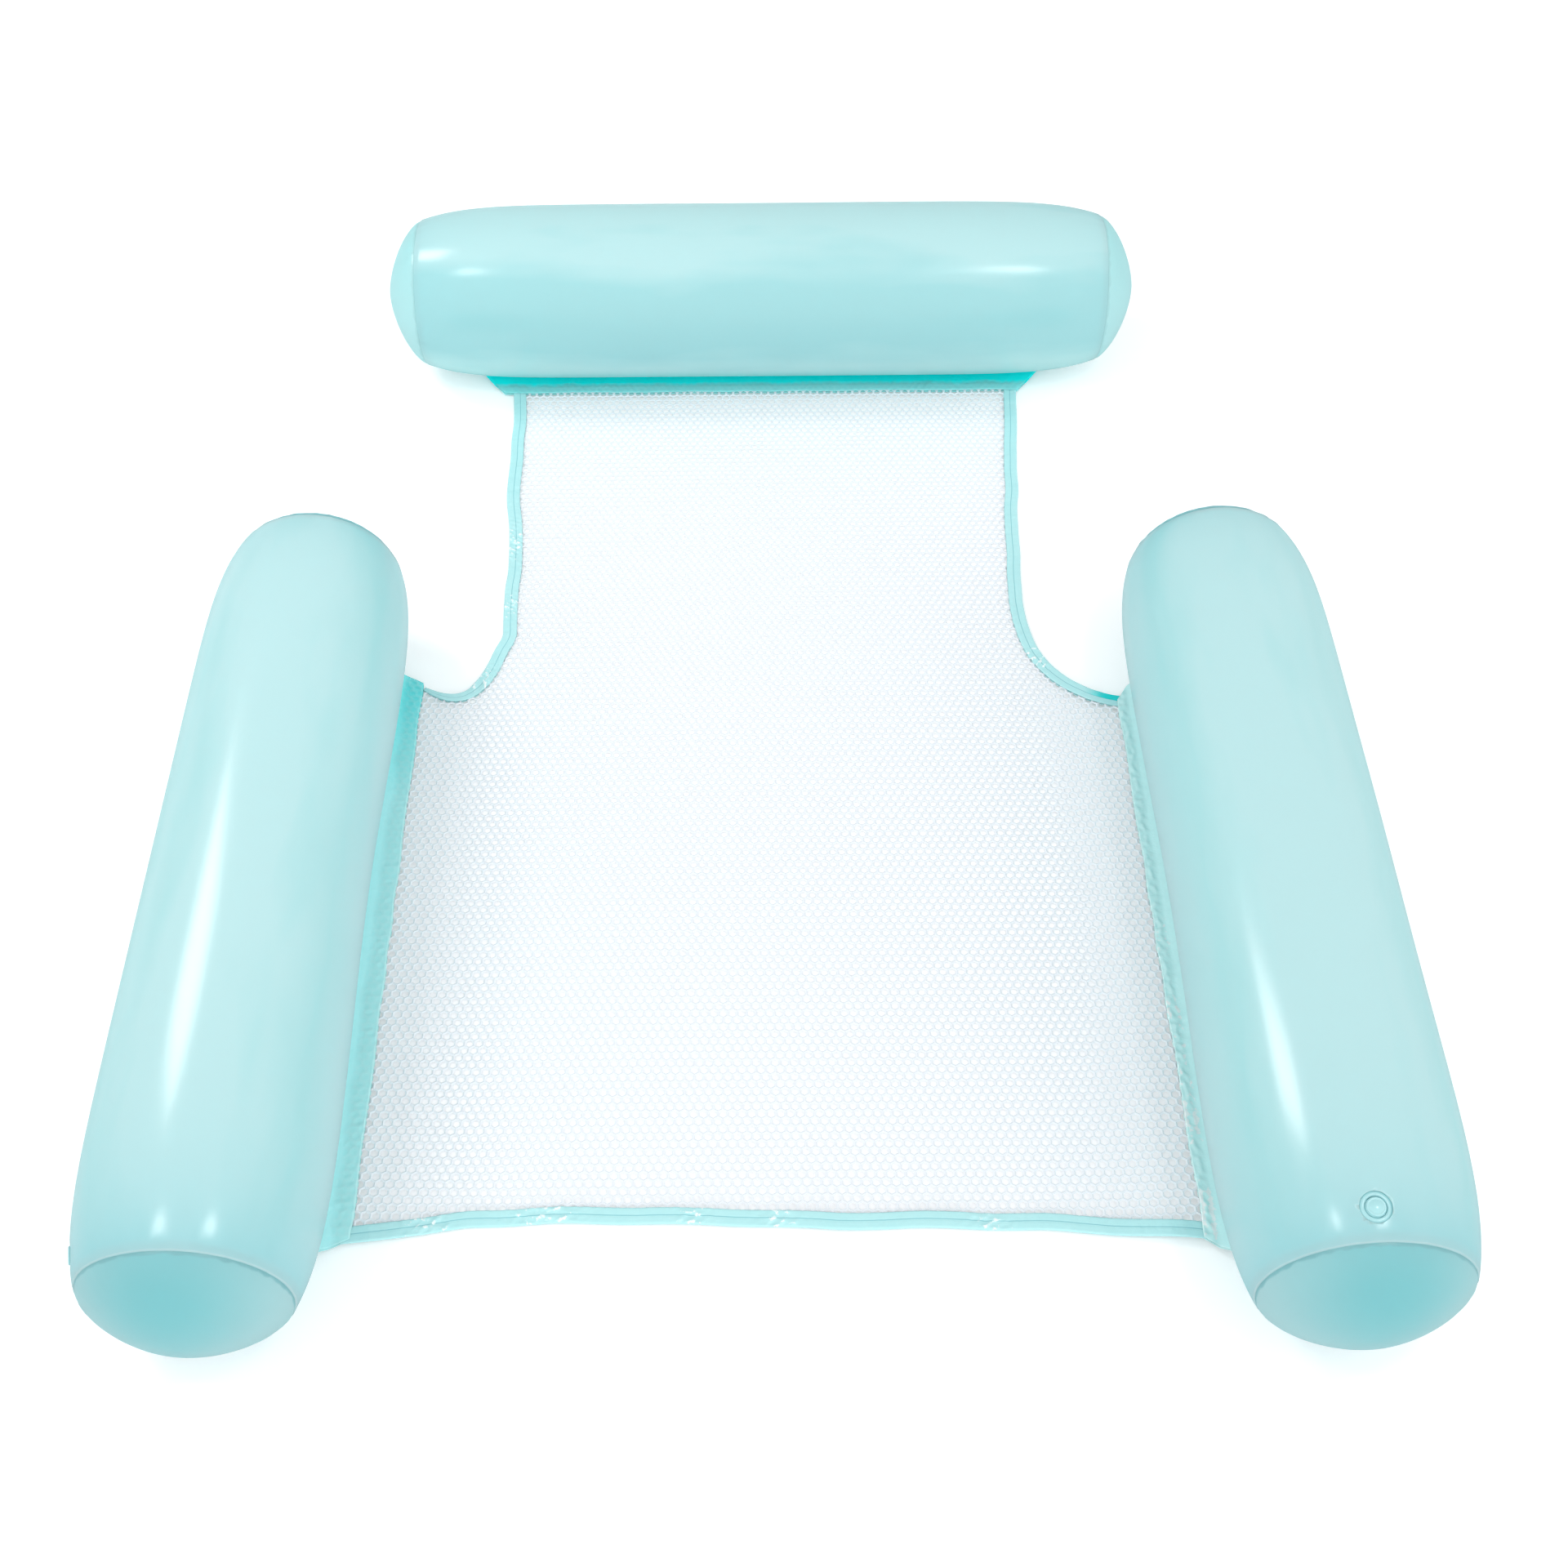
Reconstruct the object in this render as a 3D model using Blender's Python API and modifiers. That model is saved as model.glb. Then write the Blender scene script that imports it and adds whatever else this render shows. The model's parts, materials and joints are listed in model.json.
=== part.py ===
"""Inflatable water hammock: three air-filled vinyl floats round a net seat.

A headrest float lies across the top and two arm floats lie along the sides. Each float is an
open-ended sleeve closed by two domed ends. Two plies of vinyl strip, welded low on the side of
the float that faces the seat, clamp the edge of the net between them. The free edges of the net
are bound with folded vinyl tape. Each float has one push-in valve with a hinged plug.

The hammock lies on the ground as it is set down before use, net up. X runs across the seat, +Y
towards the headrest, Z up. The origin is on the ground under the middle of the whole outline.
Each float is built in a frame of its own: X along the float, -Y towards the seat, with its
origin on the line where the strip folds.
"""
import math

import bmesh
import bpy
from mathutils import Matrix, Vector

# Whole object
OVERALL_LENGTH = 1.287
CLEARANCE = 0.0003
GROUND_CLEARANCE = 0.0001
OVERRUN = 0.004

# Floats: sleeve, drawn-in ends and domes
FLOAT_RADIUS = 0.092
FLOAT_SIDES = 24
FILM = 0.0005
ARM_HALF_LENGTH = 0.3604
HEADREST_HALF_LENGTH = 0.3680
ARM_AXIS_SPACING = 0.8374
ARM_SPLAY = math.radians(0.5)
SEAM_SHARE = 0.835
DRAW_IN_POWER = 8.7
DOME_HEIGHT = 0.040
DOME_POWER = 1.6
SKIRT = 0.008
OUTER_STATION_SHARES = (1.0, 0.98, 0.95, 0.91, 0.86, 0.78, 0.62, 0.3)
INNER_STATION_SHARES = (1.0, 0.95, 0.86, 0.7)
DOME_OUTER_SHARES = (1.0, 0.93, 0.75, 0.48, 0.2)
DOME_INNER_SHARES = (1.0, 0.8, 0.4)

# Net seat
NET_THICKNESS = 0.0012
NET_PITCH = 0.0485
STRAND = 0.0060
SELVAGE = 0.0150
SMALLEST_GAP_SHARE = 0.22
FRONT_EDGE_BOW = 0.0125
NECK_TOP_HALF_WIDTH = 0.2812
NECK_TAPER = 0.0575
ARMHOLE_RADIUS = 0.080
ARMHOLE_STEPS = 10
FRONT_STEPS = 12

# Folded tape on the free edges of the net
TAPE = 0.0006
TAPE_WIDTH = 0.0135
TAPE_END_GAP = 0.0015

# Strips between the floats and the net
STRIP = 0.0006
ARM_STRIP_REACH = 0.0885
HEADREST_STRIP_REACH = 0.0620
ARM_NET_GRIP = 0.0120
HEADREST_NET_GRIP = 0.0095
ARM_STRIP_HALF_LENGTH = 0.2770
HEADREST_STRIP_OVERHANG = 0.0033
STRIP_FLARE = 0.0300
STRIP_CORNER_SLOPE_SHARE = 1.3
ARM_WELD_FACET = 1
ARM_WELD_SHARES = (0.45, 0.05)
HEADREST_WELD_FACET = 0
HEADREST_WELD_SHARES = (0.80, 0.42)
BEND_AFTER_NET = 0.0015

# Push-in valve
VALVE_HOLE_RADIUS = 0.0110
FLANGE_RADIUS = 0.0140
FLANGE = 0.0010
FLANGE_TO_SKIRT = 0.0010
COLLAR_RADIUS = 0.0092
COLLAR_LENGTH = 0.0060
STEM_RADIUS = 0.0072
STEM_BORE_RADIUS = 0.0040
STEM_LENGTH = 0.0240
STEM_LIP_RADIUS = 0.0090
STEM_LIP = 0.0015
PLUG_CAP_RADIUS = 0.0066
PLUG_CAP = 0.0016
PLUG_PIN_LENGTH = 0.0050
HINGE_TAB_LENGTH = 0.0019
HINGE_TAB_WIDTH = 0.0050
HINGE_FROM_TAB_END = 0.0003
VALVE_SIDES = 16
RIGHT_ARM_VALVE_ANGLE = math.radians(6.0)
OUTER_SIDE_VALVE_ANGLE = math.radians(-75.0)

# Values that follow from the ones above
AXIS_HEIGHT = FLOAT_RADIUS * math.cos(math.pi / FLOAT_SIDES)
FLOAT_TOTAL_HALF = ARM_HALF_LENGTH + DOME_HEIGHT
ARM_AXIS_X = ARM_AXIS_SPACING / 2
ARM_CENTRE_Y = FLOAT_TOTAL_HALF * math.cos(ARM_SPLAY) - OVERALL_LENGTH / 2
HEADREST_Y = OVERALL_LENGTH / 2 - AXIS_HEIGHT
LOWER_PLY_TOP = GROUND_CLEARANCE + STRIP
NET_BOTTOM = LOWER_PLY_TOP + CLEARANCE
NET_TOP = NET_BOTTOM + NET_THICKNESS
UPPER_PLY_TOP = NET_TOP + CLEARANCE + STRIP
FOLD_HEIGHT = (NET_BOTTOM + NET_TOP) / 2
HINGE_X = STEM_RADIUS + HINGE_TAB_LENGTH - HINGE_FROM_TAB_END
HINGE_Z = CLEARANCE + PLUG_CAP / 2
ARM_NET_EDGE = ARM_STRIP_REACH - ARM_NET_GRIP
HEADREST_NET_EDGE = HEADREST_STRIP_REACH - HEADREST_NET_GRIP
HEADREST_STRIP_HALF_LENGTH = NECK_TOP_HALF_WIDTH + HEADREST_STRIP_OVERHANG
ARM_STRIP_ALONG_Y = ARM_STRIP_HALF_LENGTH * math.cos(ARM_SPLAY)
SHOULDER_Y = ARM_CENTRE_Y + ARM_STRIP_ALONG_Y
FRONT_EDGE_Y = ARM_CENTRE_Y - ARM_STRIP_ALONG_Y + FRONT_EDGE_BOW

VINYL = ("aqua_vinyl", (0.46, 0.79, 0.80, 1.0), 0.16)
STRIP_VINYL = ("teal_strip_vinyl", (0.19, 0.72, 0.74, 1.0), 0.20)
TAPE_VINYL = ("binding_vinyl", (0.38, 0.80, 0.81, 1.0), 0.24)
NET_YARN = ("white_net_yarn", (0.86, 0.90, 0.92, 1.0), 0.70)
VALVE_VINYL = ("clear_valve_vinyl", (0.60, 0.84, 0.86, 1.0), 0.28)


def clear_scene():
    """Remove whatever the opened file holds, so that only the hammock is left."""
    for obj in list(bpy.data.objects):
        bpy.data.objects.remove(obj, do_unlink=True)


def make_collection(name):
    """A collection of the given name, linked to the scene."""
    collection = bpy.data.collections.new(name)
    bpy.context.scene.collection.children.link(collection)
    return collection


def make_material(spec):
    """One Principled material from a name, a colour and a roughness."""
    name, colour, roughness = spec
    material = bpy.data.materials.get(name)
    if material is None:
        material = bpy.data.materials.new(name)
        material.use_nodes = True
        shader = material.node_tree.nodes["Principled BSDF"]
        shader.inputs["Base Color"].default_value = colour
        shader.inputs["Roughness"].default_value = roughness
        shader.inputs["Metallic"].default_value = 0.0
        material.diffuse_color = colour
    return material


def add_object(name, data, collection, spec=None, parent=None, matrix=None):
    """Link a new object, give it its own copy of its material, and place it under its parent."""
    obj = bpy.data.objects.new(name, data)
    collection.objects.link(obj)
    if spec is not None:
        material = make_material(spec).copy()
        material.name = name + "_" + spec[0]
        data.materials.append(material)
    obj.parent = parent
    if matrix is not None:
        obj.matrix_local = matrix
    return obj


def add_empty(name, collection, matrix, parent=None):
    """An empty that carries the pieces of one moving group, on that group's joint axis."""
    empty = bpy.data.objects.new(name, None)
    collection.objects.link(empty)
    empty.empty_display_size = FLOAT_RADIUS / 2
    empty.parent = parent
    empty.matrix_local = matrix
    return empty


def hide_as_cutter(obj):
    """Keep a cutting body out of the model."""
    obj.hide_render = True
    obj.display_type = "WIRE"


def add_cutter_cylinder(name, collection, radius, low, high, parent, matrix, sides=VALVE_SIDES):
    """A closed cylinder between two heights of its own Z, used only to cut or to trim."""
    mesh = bpy.data.meshes.new(name)
    shape = bmesh.new()
    middle = Matrix.Translation((0, 0, (low + high) / 2))
    bmesh.ops.create_cone(shape, cap_ends=True, segments=sides, radius1=radius, radius2=radius,
                          depth=high - low, matrix=middle)
    shape.to_mesh(mesh)
    shape.free()
    obj = add_object(name, mesh, collection, parent=parent, matrix=matrix)
    hide_as_cutter(obj)
    return obj


def add_boolean(obj, cutter, operation):
    """Cut, trim or join one body with another."""
    modifier = obj.modifiers.new(operation.title(), "BOOLEAN")
    modifier.operation = operation
    modifier.solver = "EXACT"
    modifier.object = cutter


def turned(name, profile, sides, collection, spec, parent, matrix, closed):
    """A turned body: a profile of (radius, height) run round Z, outer side first, top to bottom."""
    mesh = bpy.data.meshes.new(name)
    count = len(profile)
    edges = [(i, i + 1) for i in range(count - 1)]
    if closed:
        edges.append((count - 1, 0))
    mesh.from_pydata([(r, 0, z) for r, z in profile], edges, [])
    obj = add_object(name, mesh, collection, spec, parent, matrix)
    screw = obj.modifiers.new("Turn", "SCREW")
    screw.axis = "Z"
    screw.angle = math.tau
    screw.steps = sides
    screw.render_steps = sides
    screw.use_merge_vertices = True
    screw.merge_threshold = 0.00001
    screw.use_smooth_shade = True
    return obj


def sleeve_radius(along, half_length):
    """Outer radius of a sleeve's skin, straight between its stations, drawn in at both ends."""
    shares = sorted(OUTER_STATION_SHARES)
    place = min(abs(along) / half_length, 1.0)
    lower = max([s for s in shares if s <= place], default=0)
    upper = min([s for s in shares if s >= place], default=1)
    low_radius = skin_radius(lower)
    if upper == lower:
        return low_radius
    return low_radius + (skin_radius(upper) - low_radius) * (place - lower) / (upper - lower)


def skin_radius(share):
    """Radius at a share of the half length: full in the middle, drawn in to the end seam."""
    return FLOAT_RADIUS * (1 - (1 - SEAM_SHARE) * share ** DRAW_IN_POWER)


def inner_line(half_length, inset):
    """Points (radius, along) of the sleeve's inner side, moved inwards, from one end to the other."""
    shares = list(INNER_STATION_SHARES) + [-s for s in reversed(INNER_STATION_SHARES)]
    return [(skin_radius(abs(s)) - FILM - inset, s * half_length) for s in shares]


def inner_radius(along, half_length, inset):
    """Radius of the sleeve's inner side, moved inwards, at a place along the float."""
    line = inner_line(half_length, inset)
    for (r_high, high), (r_low, low) in zip(line, line[1:]):
        if low <= along <= high:
            return r_low + (r_high - r_low) * (along - low) / (high - low)
    return line[0][0]


def float_turn():
    """Stand the screw's Z along the float's X, with a flat facet of the sleeve facing down."""
    lie_down = Matrix.Rotation(math.pi / 2, 4, "Y")
    half_facet = Matrix.Rotation(math.pi / FLOAT_SIDES, 4, "Z")
    return lie_down @ half_facet


def make_sleeve(name, half_length, collection, parent, axis):
    """The long skin of a float, open at both ends."""
    outer = [(skin_radius(s), s * half_length) for s in OUTER_STATION_SHARES]
    outer += [(r, -z) for r, z in reversed(outer)]
    inner = [(r, z) for r, z in reversed(inner_line(half_length, 0))]
    return turned(name, outer + inner, FLOAT_SIDES, collection, VINYL, parent,
                  axis @ float_turn(), closed=True)


def dome_point(share, radius, height, half_length):
    """A point of the dome: share 0 at the seam, 1 at the pole."""
    r = radius * max(0, 1 - share ** DOME_POWER) ** (1 / DOME_POWER)
    return (r, half_length + share * height)


def make_end(name, half_length, collection, parent, axis, side):
    """A domed end, whose skirt laps inside the sleeve."""
    skirt_start = half_length - SKIRT
    seam_radius = inner_radius(half_length, half_length, CLEARANCE)
    skirt_radius = inner_radius(skirt_start, half_length, CLEARANCE)
    profile = [dome_point(s, seam_radius, DOME_HEIGHT, half_length) for s in DOME_OUTER_SHARES]
    profile.append((seam_radius, half_length))
    profile.append((skirt_radius, skirt_start))
    profile.append((skirt_radius - FILM, skirt_start))
    profile.append((seam_radius - FILM, half_length))
    inner = [dome_point(s, seam_radius - FILM, DOME_HEIGHT - FILM, half_length)
             for s in reversed(DOME_INNER_SHARES)]
    profile += inner
    mirror = Matrix.Rotation(math.pi, 4, "X") if side < 0 else Matrix.Identity(4)
    return turned(name, profile, FLOAT_SIDES, collection, VINYL, parent,
                  axis @ float_turn() @ mirror, closed=False)


def facet_point(radius, facet, share, drop):
    """A point under a lower facet of the sleeve, as (towards the seat, up from the axis).

    The drop is measured square to the facet, away from the float.
    """
    step = math.tau / FLOAT_SIDES
    low = step * (facet + 0.5)
    middle = step * (facet + 1)
    high = low + step
    towards = radius * (math.sin(low) * (1 - share) + math.sin(high) * share)
    up = -radius * (math.cos(low) * (1 - share) + math.cos(high) * share)
    return towards + drop * math.sin(middle), up - drop * math.cos(middle)


def strip_rows(half_length, reach, net_edge, strip_half, facet, shares, flat_top, drop):
    """Rows of points of one ply's top side, across the strip from the net to the weld."""
    bend = net_edge - BEND_AFTER_NET
    weld_half = strip_half + STRIP_FLARE
    stations = [s * half_length for s in OUTER_STATION_SHARES if s * half_length < weld_half]
    along_weld = [weld_half] + stations
    along_weld = along_weld + [0] + [-a for a in reversed(along_weld)]
    corner = min(STRIP_FLARE, (reach - bend) * STRIP_CORNER_SLOPE_SHARE)
    rows = []
    for distance, extra, height in ((reach, 0, flat_top), (bend, corner, flat_top)):
        scale = (strip_half + extra) / weld_half
        rows.append([(a * scale, distance, height) for a in along_weld])
    for share in shares:
        row = []
        for a in along_weld:
            towards, up = facet_point(sleeve_radius(a, half_length), facet, share, drop)
            row.append((a, towards, AXIS_HEIGHT + up))
        rows.append(row)
    return rows


def make_ply(name, rows, collection, parent, offset):
    """One ply: an open film through rows of points on its top side, given its thickness below.

    The rows are a loft between the flat edge on the net and the curved weld line on the float,
    which no primitive gives, so its faces are laid here, two triangles to each cell.
    """
    shape = bmesh.new()
    grid = [[shape.verts.new((x, offset - towards, z - FOLD_HEIGHT)) for x, towards, z in row]
            for row in rows]
    for first, second in zip(grid, grid[1:]):
        for i in range(len(first) - 1):
            shape.faces.new((first[i], second[i + 1], first[i + 1]))
            shape.faces.new((first[i], second[i], second[i + 1]))
    mesh = bpy.data.meshes.new(name)
    shape.to_mesh(mesh)
    shape.free()
    ply = add_object(name, mesh, collection, STRIP_VINYL, parent, Matrix.Identity(4))
    film = ply.modifiers.new("Film", "SOLIDIFY")
    film.thickness = STRIP
    film.use_even_offset = True
    return ply


def make_strips(prefix, half_length, reach, net_edge, strip_half, facet, shares, collection,
                parent, offset):
    """The upper and the lower ply that clamp the edge of the net and are welded to the float."""
    upper_rows = strip_rows(half_length, reach, net_edge, strip_half, facet, shares,
                            UPPER_PLY_TOP, CLEARANCE)
    lower_rows = strip_rows(half_length, reach, net_edge, strip_half, facet, shares,
                            LOWER_PLY_TOP, CLEARANCE + STRIP + CLEARANCE)
    make_ply(prefix + "_strip_upper", upper_rows, collection, parent, offset)
    make_ply(prefix + "_strip_lower", lower_rows, collection, parent, offset)


def valve_place(half_length, end, angle):
    """Frame of a valve on the sleeve: origin on the flange's top, Z out of the float."""
    station = half_length - SKIRT - FLANGE_TO_SKIRT - FLANGE_RADIUS
    radius = inner_radius(station, half_length, CLEARANCE)
    beyond = inner_radius(station + FLANGE_RADIUS / 2, half_length, CLEARANCE)
    tilt = math.atan2(radius - beyond, FLANGE_RADIUS / 2)
    around = Matrix.Rotation(angle, 4, "X")
    out = Matrix.Translation((end * station, 0, radius))
    lean = Matrix.Rotation(end * tilt, 4, "Y")
    half_turn = Matrix.Rotation(math.pi if end > 0 else 0, 4, "Z")
    return around @ out @ lean @ half_turn


def pin_radius(depth):
    """Radius of the plug's pin at a depth: it swings out of the bore on its hinge without rubbing."""
    rim = math.hypot(HINGE_X + STEM_BORE_RADIUS, HINGE_Z)
    room = rim ** 2 - (depth + HINGE_Z) ** 2
    return min(STEM_BORE_RADIUS, math.sqrt(room) - HINGE_X) - CLEARANCE


def make_valve(prefix, half_length, end, angle, sleeve, collection, cutters, parent, axis):
    """Flange with its collar, sliding stem and hinged plug, set into a hole in the sleeve."""
    place = axis @ valve_place(half_length, end, angle)
    shell_top = inner_line(half_length, CLEARANCE)
    shell = shell_top + [(r - FLANGE, z) for r, z in reversed(shell_top)]
    flange = turned(prefix + "_valve_flange", shell, FLOAT_SIDES, collection, VALVE_VINYL, parent,
                    axis @ float_turn(), closed=True)
    trim = add_cutter_cylinder(prefix + "_flange_trim", cutters, FLANGE_RADIUS,
                               -STEM_LENGTH, STEM_LENGTH, parent, place)
    collar = add_cutter_cylinder(prefix + "_collar_body", cutters, COLLAR_RADIUS,
                                 -COLLAR_LENGTH, -FLANGE, parent, place)
    bore = add_cutter_cylinder(prefix + "_collar_bore", cutters, STEM_RADIUS + CLEARANCE,
                               -COLLAR_LENGTH - OVERRUN, OVERRUN, parent, place)
    add_boolean(flange, trim, "INTERSECT")
    add_boolean(flange, collar, "UNION")
    add_boolean(flange, bore, "DIFFERENCE")
    hole = add_cutter_cylinder(prefix + "_valve_hole", cutters, VALVE_HOLE_RADIUS,
                               -OVERRUN, OVERRUN, parent, place)
    add_boolean(sleeve, hole, "DIFFERENCE")

    slide = add_empty(prefix + "_valve_slide", collection, place, parent)
    stem_profile = [(STEM_BORE_RADIUS, 0), (STEM_RADIUS, 0),
                    (STEM_RADIUS, STEM_LIP - STEM_LENGTH), (STEM_LIP_RADIUS, STEM_LIP - STEM_LENGTH),
                    (STEM_LIP_RADIUS, -STEM_LENGTH), (STEM_BORE_RADIUS, -STEM_LENGTH)]
    turned(prefix + "_valve_stem", stem_profile, VALVE_SIDES, collection, VALVE_VINYL, slide,
           Matrix.Identity(4), closed=True)

    hinge = add_empty(prefix + "_plug_hinge", collection,
                      Matrix.Translation((HINGE_X, 0, HINGE_Z)), slide)
    depths = (0, PLUG_PIN_LENGTH / 2, PLUG_PIN_LENGTH)
    pin = [(pin_radius(d), -d) for d in depths]
    plug_profile = [(0, CLEARANCE + PLUG_CAP), (PLUG_CAP_RADIUS, CLEARANCE + PLUG_CAP),
                    (PLUG_CAP_RADIUS, CLEARANCE), (pin[0][0], CLEARANCE)] + pin[1:]
    plug_profile.append((0, -PLUG_PIN_LENGTH))
    plug = turned(prefix + "_valve_plug", plug_profile, VALVE_SIDES, collection, VALVE_VINYL, hinge,
                  Matrix.Translation((-HINGE_X, 0, -HINGE_Z)), closed=False)
    tab = add_tab(prefix + "_plug_tab", cutters, hinge)
    add_boolean(plug, tab, "UNION")


def add_tab(name, collection, parent):
    """The flat tongue between the plug's cap and its hinge line."""
    length = STEM_RADIUS + HINGE_TAB_LENGTH - PLUG_CAP_RADIUS / 2
    end = HINGE_FROM_TAB_END
    mesh = bpy.data.meshes.new(name)
    shape = bmesh.new()
    size = Matrix.Diagonal((length, HINGE_TAB_WIDTH, PLUG_CAP, 1))
    middle = Matrix.Translation((end - length / 2, 0, 0))
    bmesh.ops.create_cube(shape, size=1, matrix=middle @ size)
    shape.to_mesh(mesh)
    shape.free()
    tab = add_object(name, mesh, collection, parent=parent, matrix=Matrix.Identity(4))
    hide_as_cutter(tab)
    return tab


def make_float(prefix, frame, half_length, ends, reach, net_edge, strip_half, facet, shares,
               valve_end, valve_angle, collection, cutters):
    """One float with its ends, strips and valve, under an empty on the line where it folds."""
    fold = net_edge - BEND_AFTER_NET
    to_fold = Matrix.Translation((0, -fold, FOLD_HEIGHT))
    hinge = add_empty(prefix + "_fold", collection, frame @ to_fold)
    axis = Matrix.Translation((0, fold, AXIS_HEIGHT - FOLD_HEIGHT))
    sleeve = make_sleeve(prefix + "_sleeve", half_length, collection, hinge, axis)
    make_end(f"{prefix}_{ends[0]}_end", half_length, collection, hinge, axis, 1)
    make_end(f"{prefix}_{ends[1]}_end", half_length, collection, hinge, axis, -1)
    make_strips(prefix, half_length, reach, net_edge, strip_half, facet, shares, collection,
                hinge, fold)
    make_valve(prefix, half_length, valve_end, valve_angle, sleeve, collection, cutters, hinge,
               axis)


def arm_frame(side):
    """Frame of an arm float on the ground under its axis: side 1 is the right arm."""
    turn = Matrix.Rotation(-side * (math.pi / 2 + ARM_SPLAY), 4, "Z")
    return Matrix.Translation((side * ARM_AXIS_X, ARM_CENTRE_Y, 0)) @ turn


def headrest_frame():
    """Frame of the headrest on the ground under its axis."""
    return Matrix.Translation((0, HEADREST_Y, 0))


def arm_line_x(distance, y):
    """X of the line that runs along the right arm at a distance from its axis, at a given Y."""
    along = (y - ARM_CENTRE_Y) * math.tan(ARM_SPLAY)
    return ARM_AXIS_X + along - distance / math.cos(ARM_SPLAY)


def neck_direction():
    """Unit vector down the right edge of the neck, and the unit vector out of it."""
    down = Vector((-NECK_TAPER, -1, 0)).normalized()
    return down, Vector((-down.y, down.x, 0))


def armhole_centre():
    """Centre of the round corner between the right edge of the neck and the shoulder."""
    down, out = neck_direction()
    top = Vector((NECK_TOP_HALF_WIDTH, HEADREST_Y - HEADREST_STRIP_REACH, 0))
    centre_y = SHOULDER_Y + ARMHOLE_RADIUS
    centre_x = (out.dot(top) + ARMHOLE_RADIUS - out.y * centre_y) / out.x
    return Vector((centre_x, centre_y, 0))


def armhole_points(inset):
    """Right neck edge and armhole, moved into the panel: top of the neck to the arm strip."""
    down, out = neck_direction()
    top = Vector((NECK_TOP_HALF_WIDTH, HEADREST_Y - HEADREST_STRIP_REACH, 0))
    centre = armhole_centre()
    radius = ARMHOLE_RADIUS + inset
    start = math.atan2(-out.y, -out.x) % math.tau
    stop_x = min(arm_line_x(ARM_STRIP_REACH, SHOULDER_Y), centre.x)
    stop = math.tau - math.acos((stop_x - centre.x) / radius)
    points = []
    for i in range(ARMHOLE_STEPS + 1):
        angle = start + (stop - start) * i / ARMHOLE_STEPS
        points.append(centre + radius * Vector((math.cos(angle), math.sin(angle), 0)))
    return top - out * inset, points


def front_y(x):
    """Y of the front edge of the panel, which bows out a little towards its corners."""
    corner_x = arm_line_x(ARM_STRIP_REACH, FRONT_EDGE_Y)
    return FRONT_EDGE_Y - FRONT_EDGE_BOW * (x / corner_x) ** 2


def net_outline():
    """The whole outline of the net, counter-clockwise, from the front left corner."""
    inset = TAPE + CLEARANCE
    right = []
    corner_x = arm_line_x(ARM_NET_EDGE, FRONT_EDGE_Y)
    for i in range(FRONT_STEPS // 2 + 1):
        x = corner_x * 2 * i / FRONT_STEPS
        right.append((x, front_y(x) + inset))
    top, arc = armhole_points(inset)
    shoulder = arc[-1].y
    right.append((arm_line_x(ARM_NET_EDGE, shoulder), shoulder))
    right += [(p.x, p.y) for p in reversed(arc)]
    down, out = neck_direction()
    top_y = HEADREST_Y - HEADREST_NET_EDGE
    right.append((top.x - down.x / down.y * (top.y - top_y), top_y))
    left = [(-x, y) for x, y in reversed(right[1:])]
    return right + left


def clip(points, corner, inward):
    """The part of a polygon on the inner side of a line through a corner."""
    result = []
    for i, current in enumerate(points):
        previous = points[i - 1]
        now = (current - corner).dot(inward)
        before = (previous - corner).dot(inward)
        if (now >= 0) != (before >= 0):
            result.append(previous + (current - previous) * (before / (before - now)))
        if now >= 0:
            result.append(current)
    return result


def area(points):
    """Area of a flat polygon."""
    total = sum(a.x * b.y - a.y * b.x for a, b in zip(points, points[1:] + points[:1]))
    return abs(total) / 2


def notch_side(place, margin):
    """The straight edge of the open field nearest to a place, beside the neck or the shoulder."""
    down, out = neck_direction()
    centre = armhole_centre()
    side = -1 if place.x < 0 else 1
    from_centre = Vector((abs(place.x), place.y, 0)) - centre
    if from_centre.dot(down) < 0:
        inward = -out
    elif from_centre.x > 0:
        inward = Vector((0, -1, 0))
    else:
        inward = from_centre.normalized()
    corner = centre + inward * (ARMHOLE_RADIUS + margin)
    return Vector((side * corner.x, corner.y, 0)), Vector((side * inward.x, inward.y, 0))


def net_gaps():
    """The hexagonal gaps of the net, cut off where they reach the edges of the open field."""
    margin = TAPE + CLEARANCE + SELVAGE
    side_x = arm_line_x(ARM_STRIP_REACH, FRONT_EDGE_Y) - SELVAGE + TAPE_WIDTH
    hexagon_radius = (NET_PITCH - STRAND) / math.sqrt(3)
    row_height = NET_PITCH * math.sqrt(3) / 2
    full = 1.5 * math.sqrt(3) * hexagon_radius ** 2
    rows = int(OVERALL_LENGTH / row_height)
    columns = int(ARM_AXIS_SPACING / NET_PITCH)
    top = Vector((0, HEADREST_Y - HEADREST_STRIP_REACH, 0))
    front = Vector((0, front_y(side_x) + margin, 0))
    gaps = []
    for row in range(-rows, rows):
        for column in range(-columns, columns + 1):
            shift = 0.5 * (row % 2)
            centre = Vector(((column + shift) * NET_PITCH, row * row_height, 0))
            side = -1 if centre.x < 0 else 1
            points = [centre + hexagon_radius * Vector((math.sin(k * math.pi / 3),
                                                        math.cos(k * math.pi / 3), 0))
                      for k in range(6)]
            points = clip(points, front, Vector((0, 1, 0)))
            points = clip(points, top, Vector((0, -1, 0)))
            points = clip(points, Vector((side * side_x, 0, 0)), Vector((-side, 0, 0)))
            corner, inward = notch_side(centre, margin)
            points = clip(points, corner, inward)
            if len(points) > 2 and area(points) > SMALLEST_GAP_SHARE * full:
                gaps.append([(p.x, p.y) for p in points])
    return gaps


def add_spline(curve, points):
    """A closed or open line of straight pieces, added to a curve."""
    spline = curve.splines.new("POLY")
    spline.points.add(len(points) - 1)
    for target, (x, y) in zip(spline.points, points):
        target.co = (x, y, 0, 1)
    return spline


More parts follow.
